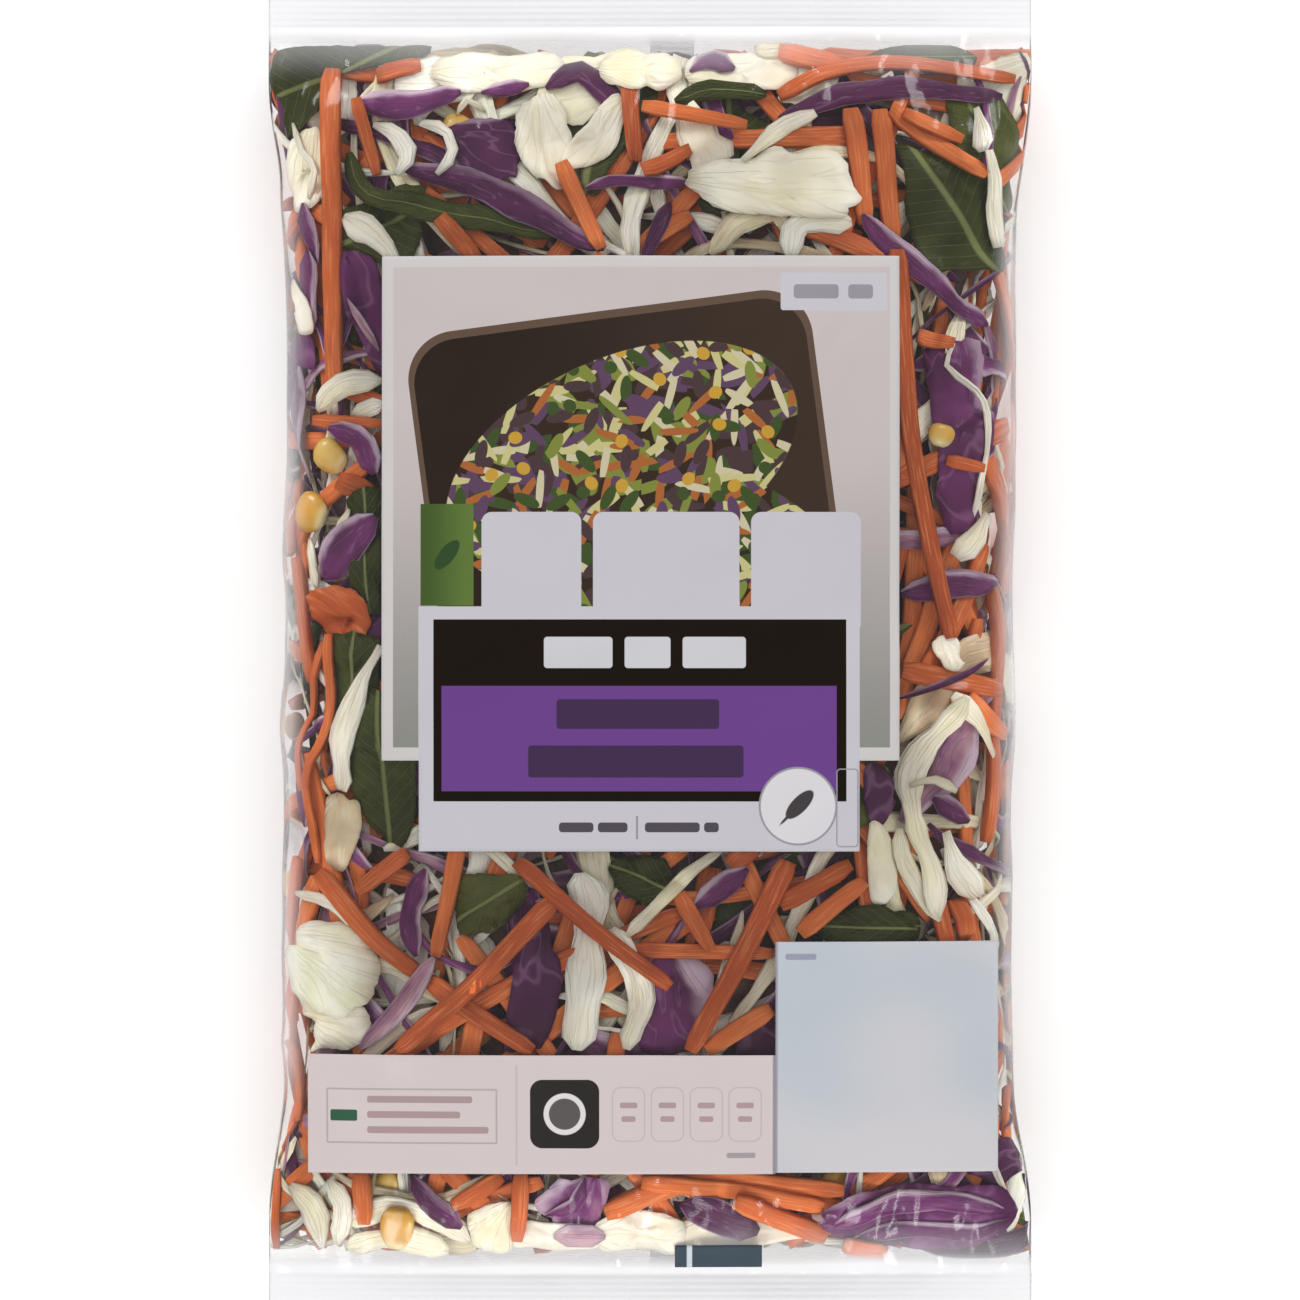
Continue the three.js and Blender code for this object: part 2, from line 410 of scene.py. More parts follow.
def lay_leaf(kind, heap, outline, wave, folds, tone=None):
    """Lays a thin leaf inside a closed outline of spots, with folds that fan out from one side."""
    edge = even_steps(np.vstack([outline, outline[:1]]), LEAF_EDGE + 1)[:-1]
    centre = edge.mean(axis=0)
    arms = edge - centre
    spread = np.linalg.svd(arms, full_matrices=False)[2]
    size = np.abs(arms @ spread.T).max(axis=0)
    fullness = min(1, size[1] / FULL_LEAF) ** 1.5
    torn = 1 + TORN * fullness * average(rng.normal(size=LEAF_EDGE), 1)
    half_way = LEAF_EDGE // 2
    for notch in rng.integers(LEAF_EDGE, size=folds // 2):
        away = np.abs((np.arange(LEAF_EDGE) - notch + half_way) % LEAF_EDGE - half_way)
        torn = torn * (1 - fullness * between(*NOTCH) * np.exp(-(away**2) / 3))
    arms = arms * torn[:, None]
    rings = np.linspace(0.04, 1, max(5, round(size[1] / LEAF_RING_STEP)))
    ground = centre + rings[:, None, None] * arms[None]
    support = widened(heap.top)[heap.cells(ground)]
    height = support.copy()
    for _ in range(DRAPE_PASSES):
        height = (height + np.roll(height, 1, 1) + np.roll(height, -1, 1)) / 3
        height[1:-1] = (height[:-2] + height[1:-1] + height[2:]) / 3
        height = np.maximum(height, support - DRAPE_SAG)
    axes = (ground - centre) @ spread.T
    ripple = np.sin(axes[..., 0] / 3.7 + 5 * rng.random()) * np.sin(axes[..., 1] / 2.9 + 5 * rng.random())
    fan = np.arctan2(axes[..., 1], axes[..., 0] + 1.3 * size[0])
    pleats = np.abs(np.sin(folds * fullness * fan * 3.1 + 3 * rng.random())) if folds else 0.5
    curl = 0.5 + 0.5 * np.sin(2 * np.linspace(0, 2 * np.pi, LEAF_EDGE) + 6 * rng.random())
    rim = RIM_LIFT * curl * rings[:, None] ** 4
    height = height + wave * fullness * (0.6 + (ripple + 1.8 * pleats - 0.9) * rings[:, None] + rim)
    heap.raise_to(ground, height + LEAF_THICKNESS)
    top = np.concatenate([ground, (height + LEAF_THICKNESS)[..., None]], axis=-1)
    bottom = np.concatenate([ground, height[..., None]], axis=-1)
    points = np.concatenate([bottom, top[::-1]])
    along = axes[..., 0] + size[0]
    across = folds * fullness * fan if folds > 1 else axes[..., 1] / size[1]
    along, across = (np.concatenate([values, values[::-1]]) for values in (along, across))
    kind.add(points, tube_faces(*points.shape[:2]), along, across, tone)


def lay_kernel(kind, heap, spot, size, turn, tone=None):
    """Lays a plump kernel, broad at its crown and drawn in where it grew on the cob."""
    latitude = np.linspace(0, math.pi, 9)[1:-1, None]
    longitude = np.linspace(0, 2 * math.pi, 14, endpoint=False)[None, :]
    u = np.cos(latitude) * np.ones_like(longitude)
    girth = np.sin(latitude) ** 0.8 * (1 + 0.18 * u)
    v = girth * np.cos(longitude)
    w = girth * np.sin(longitude)
    half = np.array(size) / 2
    ground = np.stack(turned(half[0] * u, half[1] * v, turn), axis=-1) + spot
    rest = max(np.percentile(heap.under(ground), 70) - 0.8, LOWEST)
    height = rest + half[2] * (1 + w)
    heap.raise_to(ground, height)
    points = np.concatenate([ground, height[..., None]], axis=-1)
    kind.add(points, tube_faces(*points.shape[:2]), (u + 1) * half[0], w, tone)


def blunt(t):
    """A stick that is cut straight, and is a little thinner at one end."""
    return (1 - 0.18 * t) * np.minimum(1, 0.72 + 12 * np.minimum(t, 1 - t))


def pointed(t):
    """A shred that runs out thin at both ends."""
    return 0.22 + 0.78 * np.clip(4 * t * (1 - t), 0, 1) ** 0.45


def cut_ends(t):
    """A shred with sides that stay nearly level, cut across at both ends."""
    return (0.78 + 0.22 * np.sin(np.pi * t)) * np.minimum(1, 0.35 + 9 * np.minimum(t, 1 - t))


def wedge(t):
    """A strip that is broad at one end and narrow at the other."""
    return (0.35 + 0.65 * rise(t, 0, 0.75)) * np.minimum(1, 0.5 + 9 * (1 - t))


def wander(heap, length, curl, wobble):
    """A route of that length which keeps curling, where the heap is lowest of a few random places."""
    turns = curl * rng.normal() + wobble * rng.normal(size=WANDER_STEPS)
    heading = rng.random() * 2 * math.pi + np.cumsum(turns * length / WANDER_STEPS)
    track = np.cumsum(np.column_stack([np.cos(heading), np.sin(heading)]) * length / WANDER_STEPS, axis=0)
    places = [keep_in_pocket(track - track.mean(axis=0) + random_spot()) for _ in range(TRIES)]
    return min(places, key=lambda route: heap.under(route).mean())


def loose_carrot(kinds, heap):
    length = between(38, 105)
    route = wander(heap, length, 0.003, 0.0015)
    width, thick = between(4, 5.8), between(2.8, 3.9)
    lay_strip(kinds["carrot"], heap, route, width, thick, SQUARE_CUT, blunt, stiff=True)


def loose_shred(kinds, heap, name):
    length = between(22, 78)
    route = wander(heap, length, 0.018, 0.025)
    broad = rng.random() < 0.14
    width = between(7, 11) if broad else between(2.4, 5.5)
    taper = (wedge, pointed, cut_ends, cut_ends)[rng.integers(4)]
    thick = between(0.9, 1.8)
    lay_strip(kinds[name], heap, route, width, thick, RIB_AND_BLADE, taper, twist=0.5, ragged=0.24)


def loose_strand(kinds, heap, name):
    """A thin curly strand, cut across the leaf."""
    route = wander(heap, between(20, 70), 0.03, 0.04)
    width, thick = between(1.2, 2.4), between(0.7, 1.2)
    lay_strip(kinds[name], heap, route, width, thick, STRAND, cut_ends, ragged=0.2)


def loose_leaf(kinds, heap, name, low, high):
    """A torn or cut piece of leaf with an uneven outline."""
    long_way, short_way = between(low, high), between(low, high) * 0.55
    turn = rng.random() * math.pi
    angle = np.linspace(0, 2 * math.pi, 9, endpoint=False)
    uneven = 1 + 0.22 * rng.normal(size=9)
    x, y = long_way / 2 * np.cos(angle) * uneven, short_way / 2 * np.sin(angle) * uneven
    shape = np.column_stack(turned(x, y, turn))
    centre = min((random_spot() for _ in range(TRIES)), key=lambda spot: heap.under(shape + spot).mean())
    outline = keep_in_pocket(curve_through(shape + centre, closed=True))
    lay_leaf(kinds[name], heap, outline, 0.7, FOLDS[name])


def loose_kernel(kinds, heap):
    spot = random_spot(KERNEL_MARGIN)
    size = (between(7.5, 9), between(6.5, 8), between(5, 6))
    lay_kernel(kinds["sweetcorn"], heap, spot, size, rng.random() * math.pi)


# How many loose pieces of each sort there are, how one is laid, and what it is told
FILL = (
    (250, loose_carrot),
    (300, loose_shred, "red_cabbage"),
    (320, loose_shred, "white_cabbage"),
    (22, loose_leaf, "red_cabbage", 18, 34),
    (34, loose_leaf, "white_cabbage", 18, 38),
    (34, loose_leaf, "green_leaf", 20, 42),
    (34, loose_kernel),
    (200, loose_strand, "white_cabbage"),
    (90, loose_strand, "red_cabbage"),
)


def lay_fill(kinds, heap):
    """The loose filling all round the bag, in a random order."""
    order = [(lay, told) for count, lay, *told in FILL for _ in range(count)]
    rng.shuffle(order)
    for lay, told in order:
        lay(kinds, heap, *told)


class Hand:
    """Lays single pieces on the front, by the x and y at which they show from straight above."""

    NAMES = {"red": "red_cabbage", "white": "white_cabbage", "green": "green_leaf", "carrot": "carrot"}

    def __init__(self, skin, kinds, heap):
        self.skin, self.kinds, self.heap = skin, kinds, heap

    def spots(self, places):
        reach = POCKET - NEAREST - 1
        return np.array([self.skin.spot_of(x, min(max(y, -reach), reach)) for x, y in places])

    def carrot(self, width, *places, limp=False):
        route = curve_through(self.spots(places))
        thick = 0.75 * min(width, 5)
        lay_strip(self.kinds["carrot"], self.heap, route, width, thick, SQUARE_CUT, blunt, stiff=not limp)

    def strip(self, colour, tone, width, *places, taper=None):
        route = curve_through(self.spots(places))
        taper = taper or (pointed if colour == "red" else cut_ends)
        thick = between(1.2, 2.0)
        ragged = 0.24 if colour == "white" else 0.14
        lay_strip(self.kinds[self.NAMES[colour]], self.heap, route, width, thick, RIB_AND_BLADE, taper,
                  twist=0.25, ragged=ragged, tone=tone)

    def wedge(self, colour, tone, width, *places):
        self.strip(colour, tone, width, *places, taper=wedge)

    def leaf(self, colour, tone, *places):
        outline = curve_through(self.spots(places), closed=True)
        name = self.NAMES[colour]
        wave = 0.6 if colour == "white" else 0.45
        lay_leaf(self.kinds[name], self.heap, outline, wave, FOLDS[name], tone)

    def kernel(self, tone, size, place):
        spot = self.spots([place])[0]
        size = (*size, KERNEL_HEIGHT)
        lay_kernel(self.kinds["sweetcorn"], self.heap, spot, size, between(0, 3), tone)


def lay_top_left(hand):
    """The pieces that show beside and above the front label, at its left."""
    hand.leaf("white", 0.6, (-54, 147), (-40, 149), (-24, 149), (-22, 142), (-36, 139), (-50, 140))
    hand.leaf("white", 0.5, (-90, 127), (-82, 130), (-80, 118), (-86, 108), (-91, 116))
    hand.leaf("green", 0.45, (-94, 144), (-87, 150), (-76, 152), (-57, 151), (-56, 148), (-66, 147),
              (-76, 146), (-81, 139), (-87, 130), (-91, 129))
    hand.leaf("red", 0.1, (-50, 130), (-37, 132), (-32, 127), (-34, 116), (-45, 117), (-50, 122))
    hand.strip("green", 0.7, 6.0, (-75, 124), (-72, 115), (-60, 110), (-37, 106), (-22, 104))
    hand.strip("red", 0.3, 6.5, (-62, 120), (-48, 117), (-32, 110), (-11, 100))
    hand.strip("white", 0.8, 4.0, (-69, 131), (-63, 129), (-60, 123), (-63, 118))
    hand.strip("white", 0.75, 4.5, (-57, 132), (-51, 129), (-49, 123), (-53, 118))
    hand.strip("red", 0.2, 6.0, (-26, 140), (-17, 144), (-8, 135))
    hand.leaf("white", 0.62, (-30, 137), (-24, 138), (-20, 132), (-19, 124), (-22, 115), (-28, 117),
              (-33, 124), (-33, 132))
    hand.leaf("white", 0.6, (-7, 138), (-7, 129), (-12, 122), (-21, 120), (-22, 124), (-15, 132),
              (-11, 137))
    hand.carrot(4.5, (-5, 147), (-4, 122))
    hand.carrot(3.7, (-2, 135), (24, 130))
    hand.carrot(4.5, (-22, 121), (-12, 99))
    hand.strip("red", 0.55, 4.0, (-16, 115), (-7, 117), (10, 116))
    hand.strip("white", 0.3, 2.0, (-48, 133), (-45, 137), (-41, 134))
    hand.strip("red", 0.6, 4.0, (-42, 139), (-30, 141))
    hand.carrot(4.5, (-68, 143), (-57, 146))
    hand.strip("red", 0.6, 6.7, (-73, 137), (-62, 136), (-47, 139))
    hand.carrot(3.5, (-73, 137), (-68, 118))
    hand.strip("red", 0.45, 5.5, (-86, 111), (-85, 96))
    hand.carrot(5.0, (-52, 107), (-43, 97))
    hand.strip("white", 0.6, 2.0, (-89, 131), (-87, 124), (-84, 120), (-85, 112))
    hand.wedge("white", 0.65, 6.7, (-62, 95), (-69, 104), (-76, 108))
    hand.carrot(5.2, (-79, 145), (-79, 104), (-79, 64))


def lay_top_right(hand):
    """The pieces that show above the label, at its right."""
    hand.leaf("white", 0.55, (10, 148), (24, 149), (36, 149), (34, 141), (20, 139), (10, 141))
    hand.leaf("white", 0.45, (-10, 149), (4, 149), (8, 143), (-2, 139), (-12, 142))
    hand.strip("red", 0.55, 4.5, (10, 144), (15, 147), (21, 145))
    hand.strip("green", 0.4, 4.5, (6, 137), (17, 140), (29, 139))
    hand.strip("white", 0.3, 5.0, (26, 149), (37, 150))
    hand.carrot(5.0, (32, 149), (48, 146))
    hand.leaf("green", 0.5, (49, 146), (57, 150), (66, 152), (75, 151), (81, 148), (79, 145), (67, 146),
              (57, 146))
    hand.carrot(4.5, (-2, 119), (10, 124))
    hand.leaf("green", 0.4, (63, 123), (71, 125), (83, 122), (88, 114), (88, 96), (77, 95), (68, 96),
              (64, 108))
    hand.carrot(4.5, (0, 102), (10, 108))
    hand.strip("red", 0.2, 4.0, (-2, 96), (5, 111))
    hand.strip("white", 0.25, 5.5, (15, 98), (21, 106), (31, 108), (35, 102))
    hand.strip("white", 0.7, 6.5, (35, 96), (37, 105), (50, 106))
    hand.carrot(5.2, (50, 135), (54, 106))
    hand.carrot(5.0, (57, 134), (61, 102))
    hand.carrot(4.5, (60, 134), (83, 118))
    hand.carrot(3.7, (63, 133), (78, 127))
    hand.strip("red", 0.2, 5.2, (32, 133), (50, 139), (68, 140), (88, 138))
    hand.carrot(3.7, (32, 138), (45, 144), (63, 146), (91, 142))
    hand.leaf("white", 0.6, (8, 117), (22, 122), (31, 125), (45, 123), (50, 114), (53, 109), (37, 107),
              (18, 109))
    hand.wedge("white", 0.55, 5.5, (23, 121), (32, 129), (41, 134))
    hand.wedge("white", 0.6, 5.5, (81, 135), (84, 124))
    hand.wedge("white", 0.62, 6.2, (84, 124), (87, 100))
    hand.strip("red", 0.4, 6.2, (53, 108), (63, 97), (77, 87), (88, 81))


def lay_right(hand):
    """The column of pieces down the right side."""
    hand.leaf("red", 0.35, (70, 76), (76, 78), (83, 75), (85, 62), (84, 42), (81, 31), (73, 32),
              (71, 52))
    hand.strip("white", 0.66, 1.7, (76, 76), (74, 70), (82, 63), (83, 52), (81, 32))
    hand.carrot(4.5, (67, 78), (75, 76))
    hand.kernel(0.9, (6.0, 7.0), (72, 53))
    hand.carrot(3.5, (73, 47), (82, 45))
    hand.wedge("white", 0.55, 6.7, (84, 34), (80, 28), (76, 23))
    hand.strip("red", 0.4, 6.7, (63, 14), (75, 16), (89, 17))
    hand.carrot(5.5, (62, -5), (87, -10))
    hand.carrot(5.5, (78, -12), (88, -21))
    hand.strip("red", 0.3, 2.0, (62, -12), (73, -8), (85, -2))
    hand.leaf("white", 0.62, (70, 2), (75, 4), (78, 0), (76, -5), (72, -4))
    hand.strip("red", 0.35, 6.5, (71, -37), (81, -42))
    hand.leaf("red", 0.12, (53, -29), (60, -30), (61, -37), (55, -45))
    hand.leaf("white", 0.5, (54, -43), (60, -47), (61, -60), (55, -62))
    hand.leaf("green", 0.4, (53, -67), (66, -65), (67, -72), (53, -73))
    hand.carrot(5.0, (77, -62), (79, -72))
    hand.wedge("white", 0.6, 8.4, (74, -45), (78, -54), (82, -61))
    hand.wedge("white", 0.45, 5.0, (86, -26), (81, -19), (74, -11))
    hand.strip("white", 0.42, 4.0, (62, -44), (63, -52), (68, -61), (72, -67))
    hand.strip("white", 0.5, 6.0, (77, -12), (71, -21), (65, -31), (66, -44), (69, -55), (71, -66))
    hand.wedge("white", 0.5, 3.2, (65, -33), (71, -32), (77, -35))
    hand.carrot(4.7, (61, 99), (64, 57), (75, 3))


def lay_left(hand):
    """The column of pieces down the left side."""
    hand.strip("red", 0.4, 6.5, (-87, 99), (-86, 79))
    hand.leaf("white", 0.6, (-90, 92), (-86, 87), (-85, 79), (-89, 80))
    hand.leaf("red", 0.4, (-76, 98), (-68, 96), (-67, 68), (-72, 75), (-76, 87))
    hand.strip("red", 0.95, 2.0, (-75, 87), (-68, 74))
    hand.strip("white", 0.55, 5.5, (-84, 59), (-76, 66), (-67, 67))
    hand.strip("white", 0.6, 4.5, (-75, 59), (-67, 62))
    hand.carrot(3.5, (-85, 57), (-67, 56))
    hand.strip("red", 0.65, 7.5, (-80, 55), (-72, 52), (-68, 44))
    hand.kernel(0.95, (9.9, 8.4), (-81, 48))
    hand.kernel(0.4, (9.9, 10.4), (-85, 34))
    hand.carrot(6.0, (-77, 42), (-70, 39))
    hand.leaf("green", 0.25, (-75, 37), (-67, 39), (-67, 10), (-75, 15), (-76, 27))
    hand.strip("white", 0.5, 3.0, (-75, 35), (-78, 30), (-82, 22))
    hand.strip("red", 0.5, 8.9, (-82, 18), (-75, 26), (-68, 33))
    hand.strip("white", 0.55, 3.0, (-87, 28), (-85, 22), (-83, 15))
    hand.leaf("carrot", 0.9, (-85, 12), (-79, 16), (-72, 14), (-70, 6), (-75, 0), (-83, 2))
    hand.carrot(4.0, (-88, 23), (-87, -8))
    hand.leaf("green", 0.55, (-81, 2), (-75, 4), (-68, 2), (-69, -12), (-76, -20), (-81, -17))
    hand.leaf("green", 0.5, (-72, -12), (-67, -10), (-59, -17), (-58, -35), (-62, -47), (-72, -41),
              (-76, -27))
    hand.strip("red", 0.45, 4.0, (-88, -23), (-87, -44))
    hand.carrot(2.2, (-83, 2), (-87, -17), (-87, -35), limp=True)
    hand.carrot(2.7, (-80, 4), (-81, -16), (-85, -32), (-84, -53), limp=True)
    hand.wedge("white", 0.62, 6.2, (-67, 1), (-74, -14), (-78, -35))
    hand.leaf("white", 0.08, (-81, -37), (-73, -37), (-72, -45), (-77, -55), (-81, -52))
    hand.carrot(4.5, (-60, -50), (-73, -60))


def lay_lower(hand):
    """The band between the front label and the lower panels."""
    hand.leaf("white", 0.5, (-88, -84), (-78, -85), (-71, -89), (-71, -97), (-80, -99), (-88, -98))
    hand.leaf("white", 1.0, (-90, -74), (-85, -68), (-76, -68), (-69, -77), (-70, -89), (-80, -90),
              (-88, -86))
    hand.strip("white", 0.6, 4.0, (-88, -60), (-80, -63), (-73, -69))
    hand.leaf("green", 0.92, (-48, -57), (-37, -55), (-30, -58), (-36, -68), (-47, -70))
    hand.leaf("red", 0.12, (-35, -67), (-26, -66), (-22, -83), (-27, -98), (-36, -98), (-34, -82))
    hand.leaf("red", 0.5, (-4, -77), (14, -78), (12, -98), (-2, -98))
    hand.leaf("green", 0.3, (-9, -52), (4, -52), (5, -62), (-2, -63), (-9, -58))
    hand.leaf("green", 0.4, (42, -67), (57, -63), (67, -71), (47, -73))
    hand.strip("white", 0.72, 8.9, (-17, -55), (-16, -77), (-18, -99))
    hand.strip("red", 0.55, 5.5, (-56, -55), (-61, -66), (-59, -76))
    hand.carrot(4.2, (-47, -47), (-54, -76))
    hand.carrot(5.0, (-82, -55), (-70, -70), (-58, -81))
    hand.carrot(5.0, (-56, -82), (-29, -99))
    hand.strip("red", 0.6, 7.0, (11, -64), (24, -54))
    hand.carrot(4.0, (-4, -74), (30, -75))
    hand.carrot(5.0, (32, -63), (50, -53))
    hand.carrot(5.0, (37, -70), (53, -57))
    hand.carrot(4.5, (7, -60), (15, -74))
    hand.carrot(5.0, (30, -89), (14, -99))
    hand.strip("white", 0.6, 6.5, (-10, -69), (-5, -77), (-2, -87), (-5, -99))
    hand.carrot(5.5, (34, -52), (23, -75), (10, -99))
    hand.carrot(4.5, (-33, -52), (-15, -68), (5, -83))
    hand.strip("white", 0.3, 3.5, (18, -50), (7, -57), (-5, -71))
    hand.carrot(5.2, (-24, -62), (-43, -82), (-62, -99))
    hand.strip("red", 0.98, 5.2, (-54, -76), (-62, -88), (-73, -99))


def lay_bottom(hand):
    """The band between the lower panels and the bottom weld."""
    hand.strip("white", 0.55, 5.5, (-77, -143), (-64, -139), (-53, -142), (-45, -148))
    hand.strip("white", 0.4, 5.0, (-76, -149), (-62, -147), (-50, -150))
    hand.leaf("white", 0.62, (-34, -143), (-14, -144), (-12, -149), (-34, -149))
    hand.leaf("white", 0.55, (8, -143), (26, -142), (44, -146), (26, -149), (8, -149))
    hand.strip("white", 0.5, 6.0, (-90, -133), (-84, -139), (-82, -149))
    hand.strip("white", 0.6, 5.0, (-80, -132), (-76, -139), (-78, -148))
    hand.leaf("white", 0.4, (-45, -140), (-34, -138), (-34, -149), (-43, -149))
    hand.leaf("white", 0.62, (-12, -141), (7, -142), (6, -151), (-11, -150))
    hand.carrot(5.0, (-11, -140), (12, -133), (48, -134))
    hand.carrot(4.5, (-2, -132), (43, -138))
    hand.strip("red", 0.15, 7.5, (8, -137), (17, -141), (27, -146))
    hand.carrot(5.0, (21, -136), (44, -147))
    hand.strip("red", 0.95, 6.0, (-24, -146), (-11, -146))
    hand.strip("red", 0.5, 4.0, (-26, -141), (-19, -138), (-16, -131))
    hand.strip("red", 0.3, 6.0, (-59, -131), (-55, -138), (-47, -144))
    hand.carrot(5.0, (-72, -130), (-71, -143))
    hand.carrot(4.5, (-37, -131), (-49, -138))
    hand.carrot(4.5, (-32, -130), (-33, -147))
    hand.kernel(0.4, (10.9, 8.4), (-63, -144))
    hand.leaf("red", 0.48, (45, -137), (57, -134), (75, -133), (90, -135), (90, -143), (77, -149),
              (57, -148), (42, -144))
    hand.strip("red", 0.62, 5.5, (46, -143), (60, -138), (76, -137), (88, -139))
    hand.strip("red", 0.5, 4.5, (50, -147), (64, -144), (80, -145), (89, -142))
    hand.carrot(4.5, (48, -148), (59, -150))
    hand.carrot(4.0, (-90, -97), (-88, -117))
    hand.carrot(3.0, (-93, -129), (-93, -149))


def draw_film(heap):
    """The film's height over the core: a tight sheet that the pieces hold up."""
    held = widened(heap.top) + CLEARANCE
    film = held
    for _ in range(FILM_TENSION):
        film = np.maximum(held, soften(film, 1))
    return np.maximum(soften(film, 2), widened(heap.top) + CLEARANCE / 2)


# ---------------------------------------------------------------- meshes

CORE_MARGIN = 20  # rows at each end of the bag that the core leaves free
CORE_LEVEL = 1.2
LUMP_HEIGHT = 1.6
CRIMP_PITCH = 1.6
CRIMP_HEIGHT = 0.06
WELD_STEP = 0.4  # between the film's rows in a weld
WELD_THINNESS = 0.35  # the welded film's thickness as a share of the solid's
INK_GAP = 0.12  # the ink's own height over the film's facets
INK_THICKNESS = 0.08
FIN_WIDTH = 11
FIN_ROWS = 300
FIN_GAP = 0.08  # between the film and the flap that lies on it
FIN_THICKNESS = 0.22


def add_to_scene(name, data):
    thing = bpy.data.objects.new(name, data)
    bpy.context.scene.collection.objects.link(thing)
    return thing


def make_piece(name, points, faces, finish, slot):
    """A mesh from points in millimetres, which rides on the bag's body."""
    mesh = bpy.data.meshes.new(name)
    mesh.from_pydata((points * MM).tolist(), [], [tuple(int(i) for i in face) for face in faces])
    mesh.polygons.foreach_set("use_smooth", [True] * len(mesh.polygons))
    mesh.materials.append(finish)
    mesh.update()
    piece = add_to_scene(name, mesh)
    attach(piece, "root")
    return piece


def make_vegetable(kind, skin, finish):
    """All pieces of one vegetable as one mesh, with where each point is on its own piece."""
    spots = np.vstack(kind.points)
    spots[:, 1] = np.clip(spots[:, 1], NEAREST - POCKET, POCKET - NEAREST)
    piece = make_piece(kind.name, skin.place(spots), kind.faces, finish, kind.name)
    for name, values in (("along", kind.along), ("across", kind.across), ("tone", kind.tone)):
        attribute = piece.data.attributes.new(name, "FLOAT", "POINT")
        attribute.data.foreach_set("value", np.concatenate(values).astype(np.float32))


def make_core(skin, finish):
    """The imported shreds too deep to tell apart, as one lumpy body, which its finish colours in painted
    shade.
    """
    round_it, along = np.meshgrid(np.arange(0, COLUMNS, 2) * PITCH, ROW_Y[CORE_MARGIN:-CORE_MARGIN:2])
    lumps = LUMP_HEIGHT * np.sin(round_it / 4.1 + 2 * np.sin(along / 9))
    lumps = lumps * np.sin(along / 5.3 + np.sin(round_it / 7))
    points = skin.place(np.stack([round_it, along, CORE_LEVEL + lumps], axis=-1))
    faces = tube_faces(*points.shape[:2])
    make_piece("packed_core", points.reshape(-1, 3), faces, finish, "red_cabbage")


def film_rows():
    weld = np.arange(0, WELD_LENGTH, WELD_STEP)
    body = np.linspace(-POCKET, POCKET, round(2 * POCKET / PITCH) + 1)
    return np.concatenate([LOW[1] + weld, body, (HIGH[1] - weld)[::-1]])


def make_film(skin, finish):
    """The clear film: a tube drawn over the shreds, welded flat and crimped across both ends."""
    round_it, along = np.meshgrid(np.arange(COLUMNS) * PITCH, film_rows())
    height = skin.look_up(skin.film, round_it, along)
    points = skin.place(np.stack([round_it, along, height], axis=-1))
    mirrored = points[:, (-np.arange(COLUMNS)) % COLUMNS]
    middle = (points[..., 2] + mirrored[..., 2]) / 2
    weld = rise(np.abs(along), POCKET - 0.6, POCKET + 0.6)
    thin = 1 - weld * (1 - WELD_THINNESS)
    crimp = CRIMP_HEIGHT * weld * np.sin(2 * math.pi * along / CRIMP_PITCH)
    points[..., 2] = middle + (points[..., 2] - middle) * thin + crimp
    rows = len(points)
    faces = [*grid_faces(rows, COLUMNS, rolled=True)]
    for first, flip in ((0, -1), ((rows - 1) * COLUMNS, 1)):
        for j in range(HALF):
            cap = [j, j + 1, (COLUMNS - j - 1) % COLUMNS, (COLUMNS - j) % COLUMNS]
            faces.append([first + i for i in dict.fromkeys(cap)][::flip])
    film = make_piece("bag_film", points.reshape(-1, 3), faces, finish, "bag_film")
    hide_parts("bag")
    return film


def film_height(film_tree, x, y, side):
    """The film's height at places seen from above, or from below where side is -1."""
    starts = [(a * MM, b * MM, side) for a, b in zip(x.flat, y.flat)]
    hits = [film_tree.ray_cast(start, (0, 0, -side))[0].z / MM for start in starts]
    return np.reshape(hits, x.shape)


def thicken(piece, name, thickness):
    layer = piece.modifiers.new(name, "SOLIDIFY")
    layer.thickness = thickness * MM


def make_fin_seam(film_tree, finish):
    """The seam down the back: a flap folded over and lying on the lower film."""
    places = [0, 0.4, *np.linspace(1.2, FIN_WIDTH - 1.2, 6), FIN_WIDTH - 0.4, FIN_WIDTH]
    x, y = np.meshgrid(places, np.linspace(1 - POCKET, POCKET - 1, FIN_ROWS))
    z = film_height(film_tree, x, y, -1) - FIN_GAP
    points = np.stack([x, y, z], axis=-1).reshape(-1, 3)
    seam = make_piece("fin_seam", points, grid_faces(*x.shape, rolled=False), finish, "bag_film")
    thicken(seam, "flap", FIN_THICKNESS)


def make_panel(name, film_tree, finish, *boxes):
    """A printed panel: a thin layer that lies on the film and fills one box, or two that overlap."""
    lines = []
    for low, high in ((0, 2), (1, 3)):
        breaks = sorted({box[i] for box in boxes for i in (low, high)})
        spans = zip(breaks, breaks[1:])
        steps = [np.linspace(a, b, max(2, round(b - a)), endpoint=False) for a, b in spans]
        lines.append(np.concatenate([*steps, breaks[-1:]]))
    x, y = np.meshgrid(*lines)
    points = np.stack([x, y, film_height(film_tree, x, y, 1) + INK_GAP], axis=-1).reshape(-1, 3)
    faces = grid_faces(*x.shape, rolled=False)
    middle = points[faces].mean(axis=1)
    inside = [np.all((middle[:, :2] > box[:2]) & (middle[:, :2] < box[2:]), axis=1) for box in boxes]
    faces = faces[np.any(inside, axis=0)]
    used, order = np.unique(faces, return_inverse=True)
    panel = make_piece(name, points[used], order.reshape(-1, 4), finish, "film_print")
    thicken(panel, "ink", INK_THICKNESS)


# ---------------------------------------------------------------- finishes


